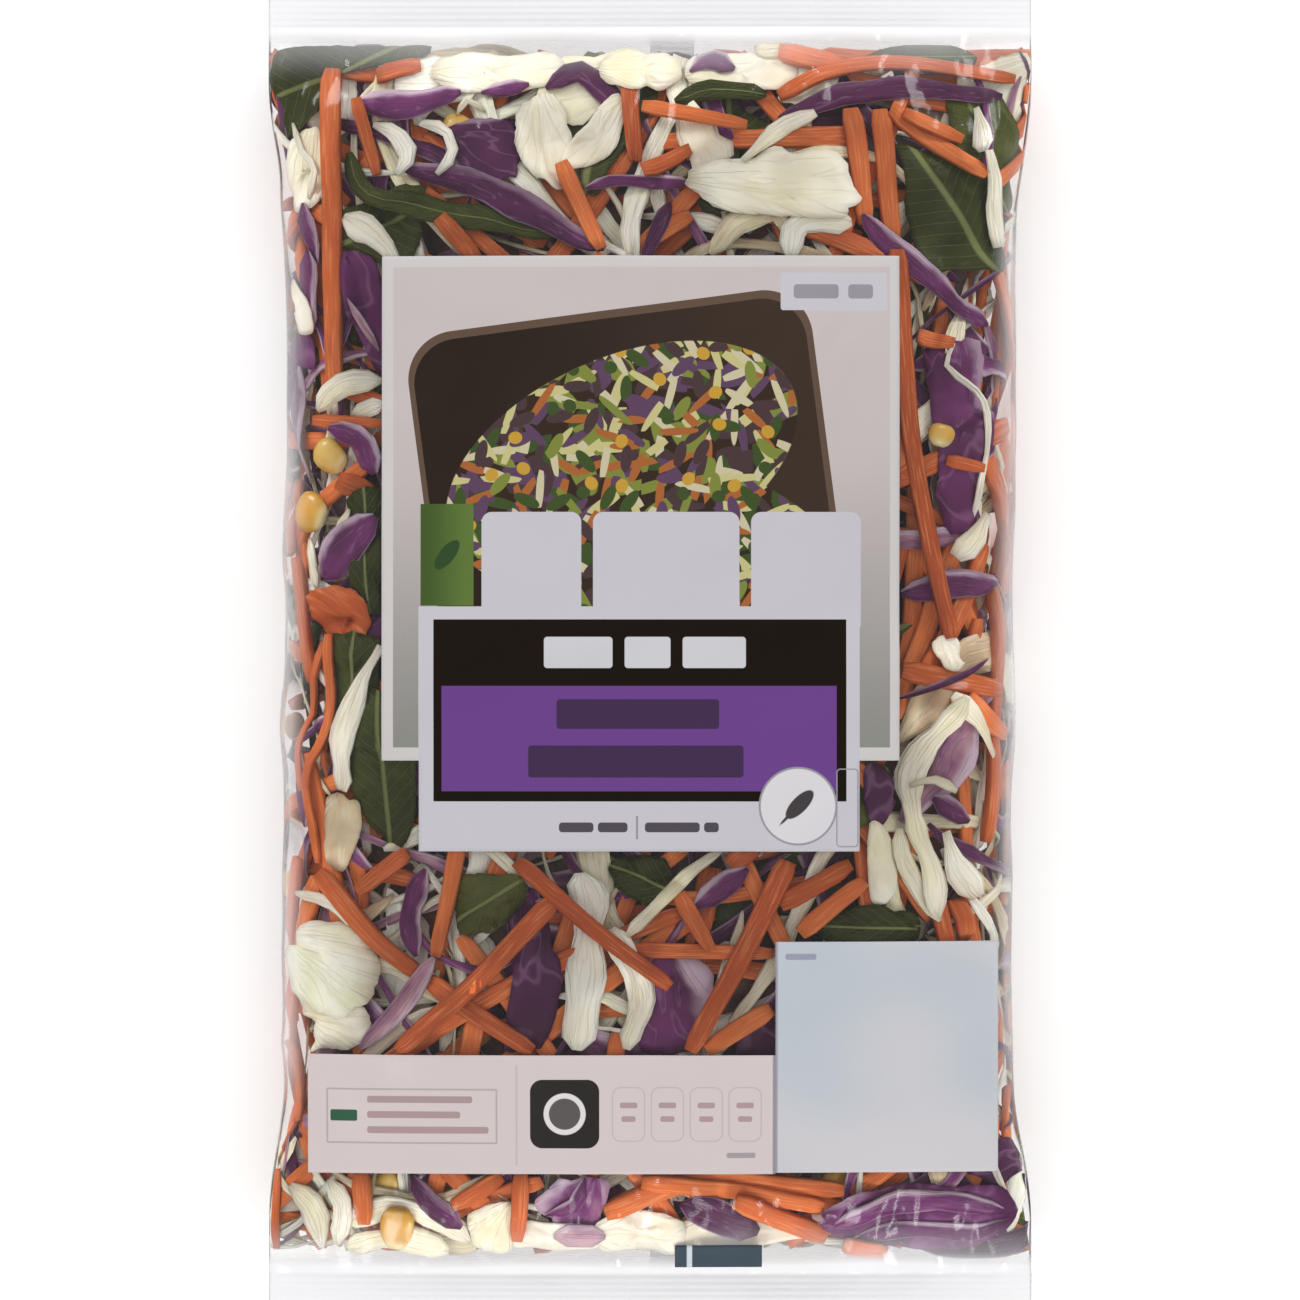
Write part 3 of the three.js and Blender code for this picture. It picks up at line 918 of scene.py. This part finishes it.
def ink(red, green, blue):
    """A colour given as it looks, from 0 to 255, as the shader's linear one."""
    shares = [value / 255 for value in (red, green, blue)]
    return (*(c / 12.92 if c < 0.04045 else ((c + 0.055) / 1.055) ** 2.4 for c in shares), 1.0)


class Value:
    """A number that a node gives. Sums with it add Math nodes."""

    def __init__(self, finish, socket):
        self.finish = finish
        self.socket = socket

    def math(self, operation, first, second=0.0):
        return self.finish.node("Math", {"operation": operation}, {0: first, 1: second})

    def __add__(self, other):
        return self.math("ADD", self, other)

    def __sub__(self, other):
        return self.math("SUBTRACT", self, other)

    def __rsub__(self, other):
        return self.math("SUBTRACT", other, self)

    def __mul__(self, other):
        return self.math("MULTIPLY", self, other)

    def __abs__(self):
        return self.math("ABSOLUTE", self)

    __radd__ = __add__
    __rmul__ = __mul__

    def sine(self):
        return self.math("SINE", self)

    def higher(self, other):
        return self.math("MAXIMUM", self, other)

    def lower(self, other):
        return self.math("MINIMUM", self, other)

    def rise(self, low, high):
        """From 0 at low to 1 at high, eased at both ends."""
        settings = {"interpolation_type": "SMOOTHSTEP"}
        return self.finish.node("MapRange", settings, {0: self, 1: low, 2: high, 3: 0.0, 4: 1.0})


class Finish:
    """A material while its nodes are being added."""

    def __init__(self, name):
        self.material = bpy.data.materials.new(name)
        self.material.use_nodes = True
        self.tree = self.material.node_tree
        self.tree.nodes.clear()

    def node(self, kind, settings=None, inputs=None, output=0):
        """Adds a node: its settings first, then the values or links of its sockets."""
        node = self.tree.nodes.new("ShaderNode" + kind)
        for name, value in (settings or {}).items():
            if name == "stops":
                self.set_stops(node.color_ramp, value)
            elif name == "stepped":
                node.color_ramp.interpolation = "CONSTANT"
            else:
                setattr(node, name, value)
        for name, value in (inputs or {}).items():
            if isinstance(value, Value):
                self.tree.links.new(value.socket, node.inputs[name])
            else:
                node.inputs[name].default_value = value
        return Value(self, node.outputs[output])

    def set_stops(self, ramp, stops):
        while len(ramp.elements) < len(stops):
            ramp.elements.new(1.0)
        for element, (place, colour) in zip(ramp.elements, stops):
            element.position = place
            element.color = colour

    def attribute(self, name):
        return self.node("Attribute", {"attribute_name": name}, output="Fac")

    def place(self):
        """Where a point is on the object: its x, y and z in millimetres."""
        here = self.node("TexCoord", output="Object")
        return [self.node("SeparateXYZ", inputs={0: here}, output=axis) * (1 / MM) for axis in range(3)]

    def at(self, x=0.0, y=0.0, z=0.0):
        return self.node("CombineXYZ", inputs={0: x, 1: y, 2: z})

    def noise(self, vector, scale, detail):
        return self.node("TexNoise", inputs={"Vector": vector, "Scale": scale, "Detail": detail})

    def mix(self, share, colour, other):
        return self.node("Mix", {"data_type": "RGBA"}, {0: share, 6: colour, 7: other}, output=2)

    def ramp(self, value, *stops):
        return self.node("ValToRGB", {"stops": stops}, {0: value})

    def bump(self, height, depth):
        """A relief of that depth in millimetres."""
        return self.node("Bump", inputs={"Height": height, "Distance": depth * MM, "Strength": 1.0})

    def principled(self, **sockets):
        inputs = {name.replace("_", " "): value for name, value in sockets.items()}
        return self.node("BsdfPrincipled", inputs=inputs)

    def clear(self):
        return self.node("BsdfTransparent", inputs={"Color": (1, 1, 1, 1)})

    def blend(self, share, shader, other):
        return self.node("MixShader", inputs={0: share, 1: shader, 2: other})

    def done(self, shader):
        output = self.tree.nodes.new("ShaderNodeOutputMaterial")
        self.tree.links.new(shader.socket, output.inputs["Surface"])
        return self.material


class ShredFinish(Finish):
    """The finish of shreds and leaves, which goes by where a point is on its own piece."""

    MOIST = 0.12  # specular level of what lies under the film

    def __init__(self, name):
        super().__init__(name)
        self.along, self.across, self.tone = (self.attribute(a) for a in ("along", "across", "tone"))

    def grain(self, along, across, seed, scale=1.0, detail=2.0):
        """Noise drawn out along the piece, and different on each piece."""
        place = self.at(self.along * along, self.across * across, self.tone * seed)
        return self.noise(place, scale, detail)

    def veins(self, along, across, seed, scale, width):
        """1 on fine lines that wander along the piece, 0 beside them."""
        middle = self.grain(along, across, seed, scale, 1.0) - 0.5
        return 1 - abs(middle).rise(0.0, width)

    def finished(self, colour, roughness, relief, depth):
        return self.done(self.principled(Base_Color=colour, Roughness=roughness,
                                         Specular_IOR_Level=self.MOIST, Normal=self.bump(relief, depth)))


def carrot_finish():
    """Raw carrot, cut: orange, with fine paler fibres along it and a few darker blotches."""
    f = ShredFinish("cut_carrot")
    fibres = f.grain(0.06, 2.4, 37, scale=2.0)
    blotches = f.grain(0.05, 0.3, 91, scale=1.2, detail=1.0)
    colour = f.mix(f.tone, ink(222, 120, 62), ink(190, 90, 46))
    colour = f.mix(fibres.rise(0.45, 0.75) * 0.7, colour, ink(238, 152, 96))
    colour = f.mix(blotches.rise(0.5, 0.8) * 0.5, colour, ink(164, 70, 40))
    return f.finished(colour, 0.42, fibres, 0.18)


def red_cabbage_finish():
    """Red cabbage: a waxy purple blade that runs into a pale lilac rib, with fine pale veins."""
    f = ShredFinish("red_cabbage_leaf")
    cloud = f.grain(0.11, 0.9, 53)
    colour = f.ramp(f.tone * 0.55 + cloud * 0.5, (0.15, ink(56, 28, 48)), (0.42, ink(92, 40, 82)),
                    (0.62, ink(122, 56, 114)), (0.86, ink(200, 160, 168)))
    rib = (0 - f.across - 0.15 + (cloud - 0.5) * 0.9).rise(0.2, 0.75) * f.tone.rise(0.15, 0.5)
    vein = f.veins(0.05, 1.6, 17, scale=1.6, width=0.04)
    edge = abs(f.across).rise(0.86, 1.0) * 0.45
    colour = f.mix(vein * 0.25, colour, ink(176, 132, 170))
    colour = f.mix(rib, colour, ink(206, 184, 200))
    colour = f.mix(edge, colour, ink(196, 172, 192))
    return f.finished(colour, 0.34, cloud + vein * 0.4, 0.3)


def white_cabbage_finish():
    """White cabbage: cream to pale green, with darker streaks and pale veins along the ribs."""
    f = ShredFinish("white_cabbage_leaf")
    streaks = f.grain(0.05, 1.9, 71, scale=1.8)
    cloud = f.grain(0.09, 0.6, 29)
    vein = f.veins(0.04, 1.5, 11, scale=1.5, width=0.05)
    colour = f.ramp(f.tone * 0.6 + cloud * 0.45, (0.24, ink(210, 184, 148)), (0.4, ink(242, 234, 198)),
                    (0.55, ink(250, 244, 222)), (0.72, ink(252, 250, 240)), (0.95, ink(234, 234, 188)))
    colour = f.mix(streaks.rise(0.5, 0.72) * 0.35, colour, ink(214, 202, 164))
    colour = f.mix(vein * 0.4, colour, ink(238, 234, 220))
    return f.finished(colour, 0.38, streaks + vein * 0.4, 0.28)


def green_leaf_finish():
    """Dark green leaf with a pale midrib, side veins and a quilted surface between them."""
    f = ShredFinish("dark_green_leaf")
    cloud = f.grain(0.12, 1.2, 67, detail=3.0)
    colour = f.ramp(f.tone * 0.5 + cloud * 0.55, (0.2, ink(36, 40, 12)), (0.5, ink(56, 62, 20)),
                    (0.72, ink(80, 86, 34)), (0.95, ink(118, 118, 56)))
    midrib = 1 - abs(f.across).rise(0.03, 0.09)
    side = 1 - abs(((f.along + abs(f.across) * 9) * 0.95).sine()).rise(0.04, 0.2)
    vein = midrib.higher(side * 0.5)
    colour = f.mix(vein * 0.6, colour, ink(150, 158, 100))
    quilt = f.grain(0.5, 5, 13, detail=1.0)
    return f.finished(colour, 0.4, quilt - vein * 0.6, 0.5)


def sweetcorn_finish():
    """Yellow kernels with a thin glossy skin, paler where they grew on the cob."""
    f = Finish("sweetcorn_kernel")
    along, tone = f.attribute("along"), f.attribute("tone")
    x, y, z = f.place()
    cloud = f.noise(f.at(x, y, z), scale=0.3, detail=1.0)
    colour = f.ramp(tone * 0.5 + cloud * 0.5, (0.2, ink(206, 150, 48)), (0.55, ink(222, 172, 66)),
                    (0.9, ink(226, 196, 110)))
    colour = f.mix(1 - along.rise(0.6, 3.0), colour, ink(232, 216, 160))
    return f.done(f.principled(Base_Color=colour, Roughness=0.28, Normal=f.bump(cloud, 0.2)))


def shaded_core_finish():
    """What shows between the top shreds: more of them, coloured dark in painted shade, and paler in painted
    light towards the ends and the sides, where the filling thins.
    """
    f = Finish("shaded_shreds")
    x, y, z = f.place()
    patch = f.node("TexVoronoi", inputs={"Vector": f.at(x, y * 0.6, z), "Scale": 0.16}, output="Color")
    pick = f.node("SeparateXYZ", inputs={0: patch})
    # painted shade: dark purples and browns for the deep shreds as they look in shadow
    colour = f.ramp(pick, (0.1, ink(66, 30, 40)), (0.4, ink(98, 46, 38)), (0.7, ink(78, 60, 38)),
                    (0.9, ink(120, 66, 42)))
    strands_and_shade = f.noise(f.at(x * 0.3, y * 0.3, z * 0.3), scale=1.0, detail=2.0)
    # painted shade: darker in streaks, for the deeper gaps between the shreds; the same noise also gives
    # the real relief
    colour = f.mix(strands_and_shade.rise(0.4, 0.7) * 0.5, colour, ink(40, 26, 30))
    # painted light: paler towards the ends and the sides, where the filling thins and light shows through
    # it
    thin = abs(y).rise(POCKET - 40, POCKET - 12).higher(abs(x).rise(70, 90) * 0.8)
    colour = f.mix(thin * (0.6 + 0.4 * strands_and_shade), colour, ink(232, 216, 198))
    return f.done(f.principled(Base_Color=colour, Roughness=0.6, Normal=f.bump(strands_and_shade, 1.0)))


DYE = 0.84  # share of the light on the bag that its palest ink would give back at full white


def dye(red, green, blue):
    """An ink's colour, given as it looks on the bag."""
    return (*(DYE * c for c in ink(red, green, blue)[:3]), 1.0)


class Print:
    """Ink on the film: one shape laid over another, by x and y in millimetres."""

    FADE = 0.12  # width over which an inked edge fades

    def __init__(self, name, ground):
        self.f = Finish(name)
        self.x, self.y, _ = self.f.place()
        self.here = self.f.at(self.x, self.y)
        self.colour = ground

    def lay(self, mask, colour):
        self.colour = self.f.mix(mask, self.colour, colour)

    def vector(self, operation, first, second=(0, 0, 0)):
        return self.f.node("VectorMath", {"operation": operation}, {0: first, 1: second})

    def length(self, vector):
        return self.f.node("VectorMath", {"operation": "LENGTH"}, {0: vector}, output=1)

    def seen_from(self, x, y, turn=0.0, scale=(1, 1)):
        """The place as seen from a shape's middle, in the shape's own turn and scale."""
        inputs = {"Vector": self.here, "Location": (x, y, 0)}
        inputs.update({"Rotation": (0, 0, turn), "Scale": (*scale, 1)})
        return self.f.node("Mapping", {"vector_type": "TEXTURE"}, inputs)

    def box(self, left, bottom, right, top, corner=0.0, turn=0.0):
        """1 inside a box, 0 outside."""
        middle = self.seen_from((left + right) / 2, (bottom + top) / 2, turn)
        half = ((right - left) / 2 - corner, (top - bottom) / 2 - corner, 1)
        outside = self.vector("MAXIMUM", self.vector("SUBTRACT", self.vector("ABSOLUTE", middle), half))
        return 1 - self.length(outside).rise(corner, corner + self.FADE)

    def outline(self, left, bottom, right, top, corner, line):
        inner = self.box(left + line, bottom + line, right - line, top - line, max(corner - line, 0))
        return self.box(left, bottom, right, top, corner) * (1 - inner)

    def oval(self, x, y, across, up, turn=0.0):
        """1 inside an oval of those half sizes, 0 outside."""
        edge = self.FADE / min(across, up)
        return 1 - self.length(self.seen_from(x, y, turn, (across, up))).rise(1 - edge, 1 + edge)

    def bars(self, spans, bottom, top, colour):
        """Plain bars in a row, where a line of words would be."""
        for left, right in spans:
            self.lay(self.box(left, bottom, right, top, min(0.8, (top - bottom) / 3)), colour)

    def done(self):
        paper = self.f.noise(self.here, scale=0.4, detail=1.0)
        relief = self.f.bump(paper, 0.05)
        sockets = {"Base_Color": self.colour, "Roughness": 0.4, "Specular_IOR_Level": 0.1, "Normal": relief}
        return self.f.done(self.f.principled(**sockets))


PRINT_WHITE = dye(180, 178, 184)
PRINT_BLACK = dye(19, 9, 2)
PRINT_PURPLE = dye(96, 58, 125)
PRINT_GREY = dye(136, 134, 140)

# The front label's parts, in millimetres from the middle of the bag: left, bottom, right, top
PICTURE_PANEL = (-66.3, -27.3, 61.6, 97.4)
TITLE_PANEL = (-57.1, -49.7, 51.7, 10.7)
PICTURE = (-63.4, -24.0, 59.2, 94.6)
INFO_PANEL = (-84.9, -129.7, 31.0, -100.1)
DATE_PANEL = (31.0, -129.4, 86.4, -72.0)
REGISTER_MARK = (6.2, -153.4, 27.8, -147.8)


def scattered(p, size, long_way, short_way, shift, *palette):
    """Ovals scattered in all directions: 1 inside one, and the colour that each one takes."""
    moved = p.vector("ADD", p.here, (*shift, 0))
    cells = {"Vector": moved, "Scale": 1 / size, "Randomness": 0.9}
    flat = {"voronoi_dimensions": "2D"}
    centre, pick = (p.f.node("TexVoronoi", flat, cells, output=o) for o in ("Position", "Color"))
    draw = p.f.node("SeparateXYZ", inputs={0: pick}, output="X")
    spin = {"Vector": p.vector("SUBTRACT", moved, centre), "Angle": draw * 6.3}
    arm = p.f.node("VectorRotate", {"rotation_type": "Z_AXIS"}, spin)
    reach = p.length(p.vector("DIVIDE", arm, (long_way, short_way, 1)))
    hue = p.f.node("SeparateXYZ", inputs={0: pick}, output="Y")
    steps = [(i / len(palette), colour) for i, colour in enumerate(palette)]
    return 1 - reach.rise(0.9, 1.0), p.f.node("ValToRGB", {"stops": steps, "stepped": True}, {0: hue})


def picture_print(p):
    """Plain shapes of cut vegetables strewn over a dark board that lies askew on a pale ground."""
    cream, pale, leaf = dye(176, 170, 118), dye(180, 172, 142), dye(56, 72, 36)
    lime, plum, orange = dye(112, 120, 54), dye(84, 60, 84), dye(150, 88, 46)
    corn, dusk = dye(176, 136, 52), dye(66, 50, 52)
    p.lay(p.box(*PICTURE), p.f.mix(p.y.rise(-30, 60), dye(126, 126, 121), dye(180, 171, 170)))
    askew = 0.13
    p.lay(p.box(-56.5, 6, 44, 84, 12, askew), dye(88, 70, 58))
    p.lay(p.box(-55, 6, 42.5, 82, 11, askew), p.f.mix(p.x.rise(-50, 40), dye(38, 28, 22), dye(54, 42, 34)))
    drift = p.oval(-7, 46, 46, 26, 0.42).higher(p.oval(6, 24, 46, 24, -0.3))
    p.lay(drift, dye(48, 36, 28))
    layers = (
        (9, 6.5, 3.2, (0, 0), dusk, leaf, plum, lime),
        (7, 5.5, 1.4, (31, 7), cream, leaf, plum, dusk, lime),
        (6, 4.6, 1.1, (5, 47), pale, orange, plum, dusk),
        (8, 6, 1.0, (61, 23), cream, lime, orange, pale),
        (9, 3.6, 1.5, (17, 81), leaf, dusk, lime, plum),
        (11, 1.8, 1.6, (43, 59), corn, leaf),
    )
    for layer in layers:
        mask, colour = scattered(p, *layer)
        p.lay(mask * drift, colour)


def label_finish():
    """The front label: a picture in a pale frame, a green tab, and black and purple fields on white."""
    p = Print("label_ink", dye(186, 182, 182))
    picture_print(p)
    p.lay(p.box(32.3, 83.9, 58.4, 93.1, 0.6), PRINT_WHITE)
    p.bars([(35.5, 46.5), (49, 55)], 86.8, 90.2, PRINT_GREY)
    p.lay(p.box(*TITLE_PANEL), PRINT_WHITE)
    for left, right in ((-41.5, -17), (-14, 22), (25, 52)):
        p.lay(p.box(left, 4, right, 34, 2.5), PRINT_WHITE)
    p.lay(p.box(-56.6, 11.0, -43.6, 36.0), p.f.mix(p.x.rise(-56, -44), dye(60, 80, 36), dye(84, 106, 50)))
    p.lay(p.oval(-50.1, 23.5, 4.4, 1.9, 0.9), dye(44, 66, 36))
    p.lay(p.box(-53.4, -37.3, 48.4, 7.5), PRINT_BLACK)
    p.bars([(-26.1, -9.3), (-6.2, 5.0), (8.1, 23.6)], -4.4, 3.2, dye(186, 186, 190))
    p.lay(p.box(-51.4, -34.8, 46.0, -8.9), PRINT_PURPLE)
    p.bars([(-23, 17)], -19.4, -12.2, dye(58, 40, 70))
    p.bars([(-30, 23)], -31.4, -23.6, dye(58, 40, 70))
    p.bars([(-22.4, -14), (-12.8, -5.6), (-1.2, 12.2), (13.4, 16.9)], -44.9, -42.6, dye(72, 68, 74))
    p.lay(p.box(-3.4, -46.6, -3.0, -41), PRINT_GREY)
    p.lay(p.outline(46, -48.6, 51.4, -29.3, 1.0, 0.3), PRINT_GREY)
    p.lay(p.oval(36.5, -38.5, 9.7, 9.7), PRINT_GREY)
    p.lay(p.oval(36.5, -38.5, 9.2, 9.2), dye(196, 194, 197))
    p.lay(p.oval(36.9, -38.1, 4.6, 1.9, 0.8), dye(60, 56, 58))
    p.lay(p.oval(33.6, -41.5, 2.2, 0.35, 0.8), dye(60, 56, 58))
    return p.done()


def info_finish():
    """The information panel: a boxed note, a dark badge and four small boxes, with bars for their words."""
    p = Print("info_ink", dye(194, 182, 182))
    p.lay(p.outline(-80.2, -122.2, -37.8, -108.5, 0.4, 0.45), dye(164, 156, 157))
    p.lay(p.box(-79.2, -116.6, -72.6, -113.9, 0.4), dye(46, 84, 62))
    for top, right in ((-110.4, -44), (-114.2, -47), (-118.0, -40)):
        p.bars([(-70, right)], top - 1.6, top, dye(158, 136, 136))
    p.lay(p.box(-33.2, -127.5, -32.8, -102.5), dye(178, 170, 173))
    p.lay(p.box(-29.6, -123.2, -12.6, -106.2, 3.0), dye(40, 36, 36))
    p.lay(p.oval(-21.1, -114.7, 5.2, 5.2), dye(206, 200, 200))
    p.lay(p.oval(-21.1, -114.7, 3.9, 3.9), dye(84, 80, 80))
    for left in (-9.4, 0.2, 9.8, 19.4):
        p.lay(p.outline(left, -121.6, left + 8.2, -108, 2.2, 0.35), dye(176, 168, 172))
        p.bars([(left + 2, left + 6.2)], -113.2, -111.9, dye(160, 138, 142))
        p.bars([(left + 2.4, left + 5.8)], -116.6, -115.3, dye(160, 138, 142))
    p.bars([(19, 26)], -125.6, -124.4, dye(150, 142, 146))
    p.lay(p.box(30.4, -129.7, 31.0, -72), dye(142, 136, 146))
    return p.done()


def date_finish():
    """The bare panel for a date: pale blue-grey."""
    p = Print("date_ink", dye(172, 179, 186))
    cloud = p.f.noise(p.here, scale=0.02, detail=1.0)
    p.lay(cloud.rise(0.35, 0.7), dye(190, 187, 190))
    p.lay(p.box(31.0, -130, 31.5, -72), dye(150, 146, 156))
    p.bars([(33.5, 41)], -76.4, -75.0, dye(140, 142, 158))
    return p.done()


def mark_finish():
    """The dark register mark by the bottom weld, with one light break."""
    p = Print("mark_ink", dye(58, 70, 80))
    p.lay(p.box(9.2, -154, 10.4, -147), dye(190, 198, 204))
    return p.done()


WELD_HAZE = 0.82  # how much of what lies under a weld its milky look hides
FILM_IOR = 1.27  # less than a real film's, so that what lies under it stays clear to see


def film_finish():
    """Clear glossy film. It looks milky where it is welded, and a little at the ends and the sides."""
    f = Finish("clear_film")
    x, y, z = f.place()
    weld = abs(y).rise(POCKET - 0.8, POCKET + 0.8)
    cloud = f.noise(f.at(x, y, z), scale=0.035, detail=0.0)
    ends = abs(y).rise(POCKET - 14, POCKET - 1) * 0.3
    brim = abs(y).rise(POCKET - 5, POCKET) * 0.6
    sides = abs(x).rise(84, 93) * (1 - abs(y).rise(95, 125)) * 0.5
    haze = 0.005 + ends.higher(sides) * (0.3 + 1.2 * cloud) + brim
    haze = haze.lower(WELD_HAZE) * (1 - weld) + WELD_HAZE * weld
    milk = f.principled(Base_Color=ink(222, 222, 224), Roughness=0.5)
    wrinkle = f.noise(f.at(x, y * 0.35, z), scale=0.17, detail=1.0)
    gathered = 0.35 + abs(y).rise(POCKET - 55, POCKET - 10)
    relief = f.bump(wrinkle * gathered, 1.6)
    gloss = f.node("BsdfAnisotropic", inputs={"Color": (1, 1, 1, 1), "Roughness": 0.12, "Normal": relief})
    fresnel = f.node("Fresnel", inputs={"IOR": FILM_IOR})
    return f.done(f.blend(fresnel, f.blend(haze, f.clear(), milk), gloss))


def seam_finish():
    """The back seam, heat sealed across its flap in fine ribs."""
    f = Finish("sealed_film")
    y = f.place()[1]
    ribs = (y * 4.2).sine() * 0.5 + 0.5
    milk = f.principled(Base_Color=ink(232, 232, 233), Roughness=0.3, Normal=f.bump(ribs, 0.1))
    return f.done(f.blend(0.3 + 0.15 * ribs, f.clear(), milk))


def floor_finish():
    """A white table, a very little uneven in its tone."""
    f = Finish("white_table")
    x, y, z = f.place()
    grain = f.noise(f.at(x, y, z), scale=0.02, detail=1.0)
    colour = f.mix(grain, ink(247, 247, 247), ink(250, 250, 250))
    return f.done(f.principled(Base_Color=colour, Roughness=0.7))


# ---------------------------------------------------------------- camera, floor and lights

PHOTO = 1300  # pixels along each side of the photo
PIXEL = 190 / 765  # the weld is 190 mm wide and covers 765 pixels
CAMERA_HEIGHT = 3000
MEASURED_HEIGHT = 20  # over the table, where that pixel size holds
SENSOR = 36
ROOM_LIGHT = 0.76
SOFTBOX_DISTANCE = 2.0  # in metres, as are the softboxes' sizes

# Each softbox's azimuth and elevation in degrees, its size and its power in watts
SOFTBOXES = ((130, 22, 0.7, 23), (50, 22, 0.7, 20), (-60, 26, 0.6, 16), (-120, 24, 0.8, 15))


def add_camera():
    camera = bpy.data.cameras.new("camera")
    camera.sensor_fit = "HORIZONTAL"
    camera.sensor_width = SENSOR
    camera.lens = SENSOR * (CAMERA_HEIGHT - MEASURED_HEIGHT) / (PHOTO * PIXEL)
    camera.clip_end = 20
    spot = add_to_scene("camera", camera)
    spot.location = (0, 0, CAMERA_HEIGHT * MM)
    bpy.context.scene.camera = spot


def add_floor():
    size = 3
    mesh = bpy.data.meshes.new("table")
    corners = [(-size, -size, 0), (size, -size, 0), (size, size, 0), (-size, size, 0)]
    mesh.from_pydata(corners, [], [(0, 1, 2, 3)])
    mesh.materials.append(floor_finish())
    add_to_scene("table", mesh)


def add_lights():
    """A white room, and four softboxes that stand low, so that only the film's steep slopes mirror them."""
    world = bpy.data.worlds.new("studio")
    world.use_nodes = True
    sky = world.node_tree.nodes["Background"].inputs
    sky["Color"].default_value = (1, 1, 1, 1)
    sky["Strength"].default_value = ROOM_LIGHT
    bpy.context.scene.world = world
    for azimuth, elevation, size, energy in SOFTBOXES:
        light = bpy.data.lights.new("softbox", "AREA")
        light.size = size
        light.energy = energy
        turn, lift = math.radians(azimuth), math.radians(elevation)
        level = math.cos(lift)
        toward = Vector((level * math.cos(turn), level * math.sin(turn), math.sin(lift)))
        lamp = add_to_scene("softbox", light)
        lamp.location = SOFTBOX_DISTANCE * toward
        lamp.rotation_euler = toward.to_track_quat("Z", "Y").to_euler()
    bpy.context.scene.view_settings.view_transform = "Standard"


# ---------------------------------------------------------------- the bag

add_camera()
add_floor()
add_lights()

FINISHES = {
    "carrot": carrot_finish,
    "red_cabbage": red_cabbage_finish,
    "white_cabbage": white_cabbage_finish,
    "green_leaf": green_leaf_finish,
    "sweetcorn": sweetcorn_finish,
}
FULL_PART = 120  # half the length over which the bag is full

skin = Skin(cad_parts["bag"])
heap = Heap()
kinds = {name: Kind(name) for name in FINISHES}
lay_fill(kinds, heap)
hand = Hand(skin, kinds, heap)
for lay_region in (lay_top_left, lay_top_right, lay_right, lay_left, lay_lower, lay_bottom):
    lay_region(hand)
skin.film = draw_film(heap)
skin.level = skin.film[np.abs(ROW_Y) < FULL_PART].mean()

for name, finish in FINISHES.items():
    make_vegetable(kinds[name], skin, finish())
make_core(skin, shaded_core_finish())
film = make_film(skin, film_finish())

film_tree = BVHTree.FromObject(film, bpy.context.evaluated_depsgraph_get())
make_fin_seam(film_tree, seam_finish())
make_panel("front_label", film_tree, label_finish(), PICTURE_PANEL, TITLE_PANEL)
make_panel("info_panel", film_tree, info_finish(), INFO_PANEL)
make_panel("date_panel", film_tree, date_finish(), DATE_PANEL)
make_panel("register_mark", film_tree, mark_finish(), REGISTER_MARK)
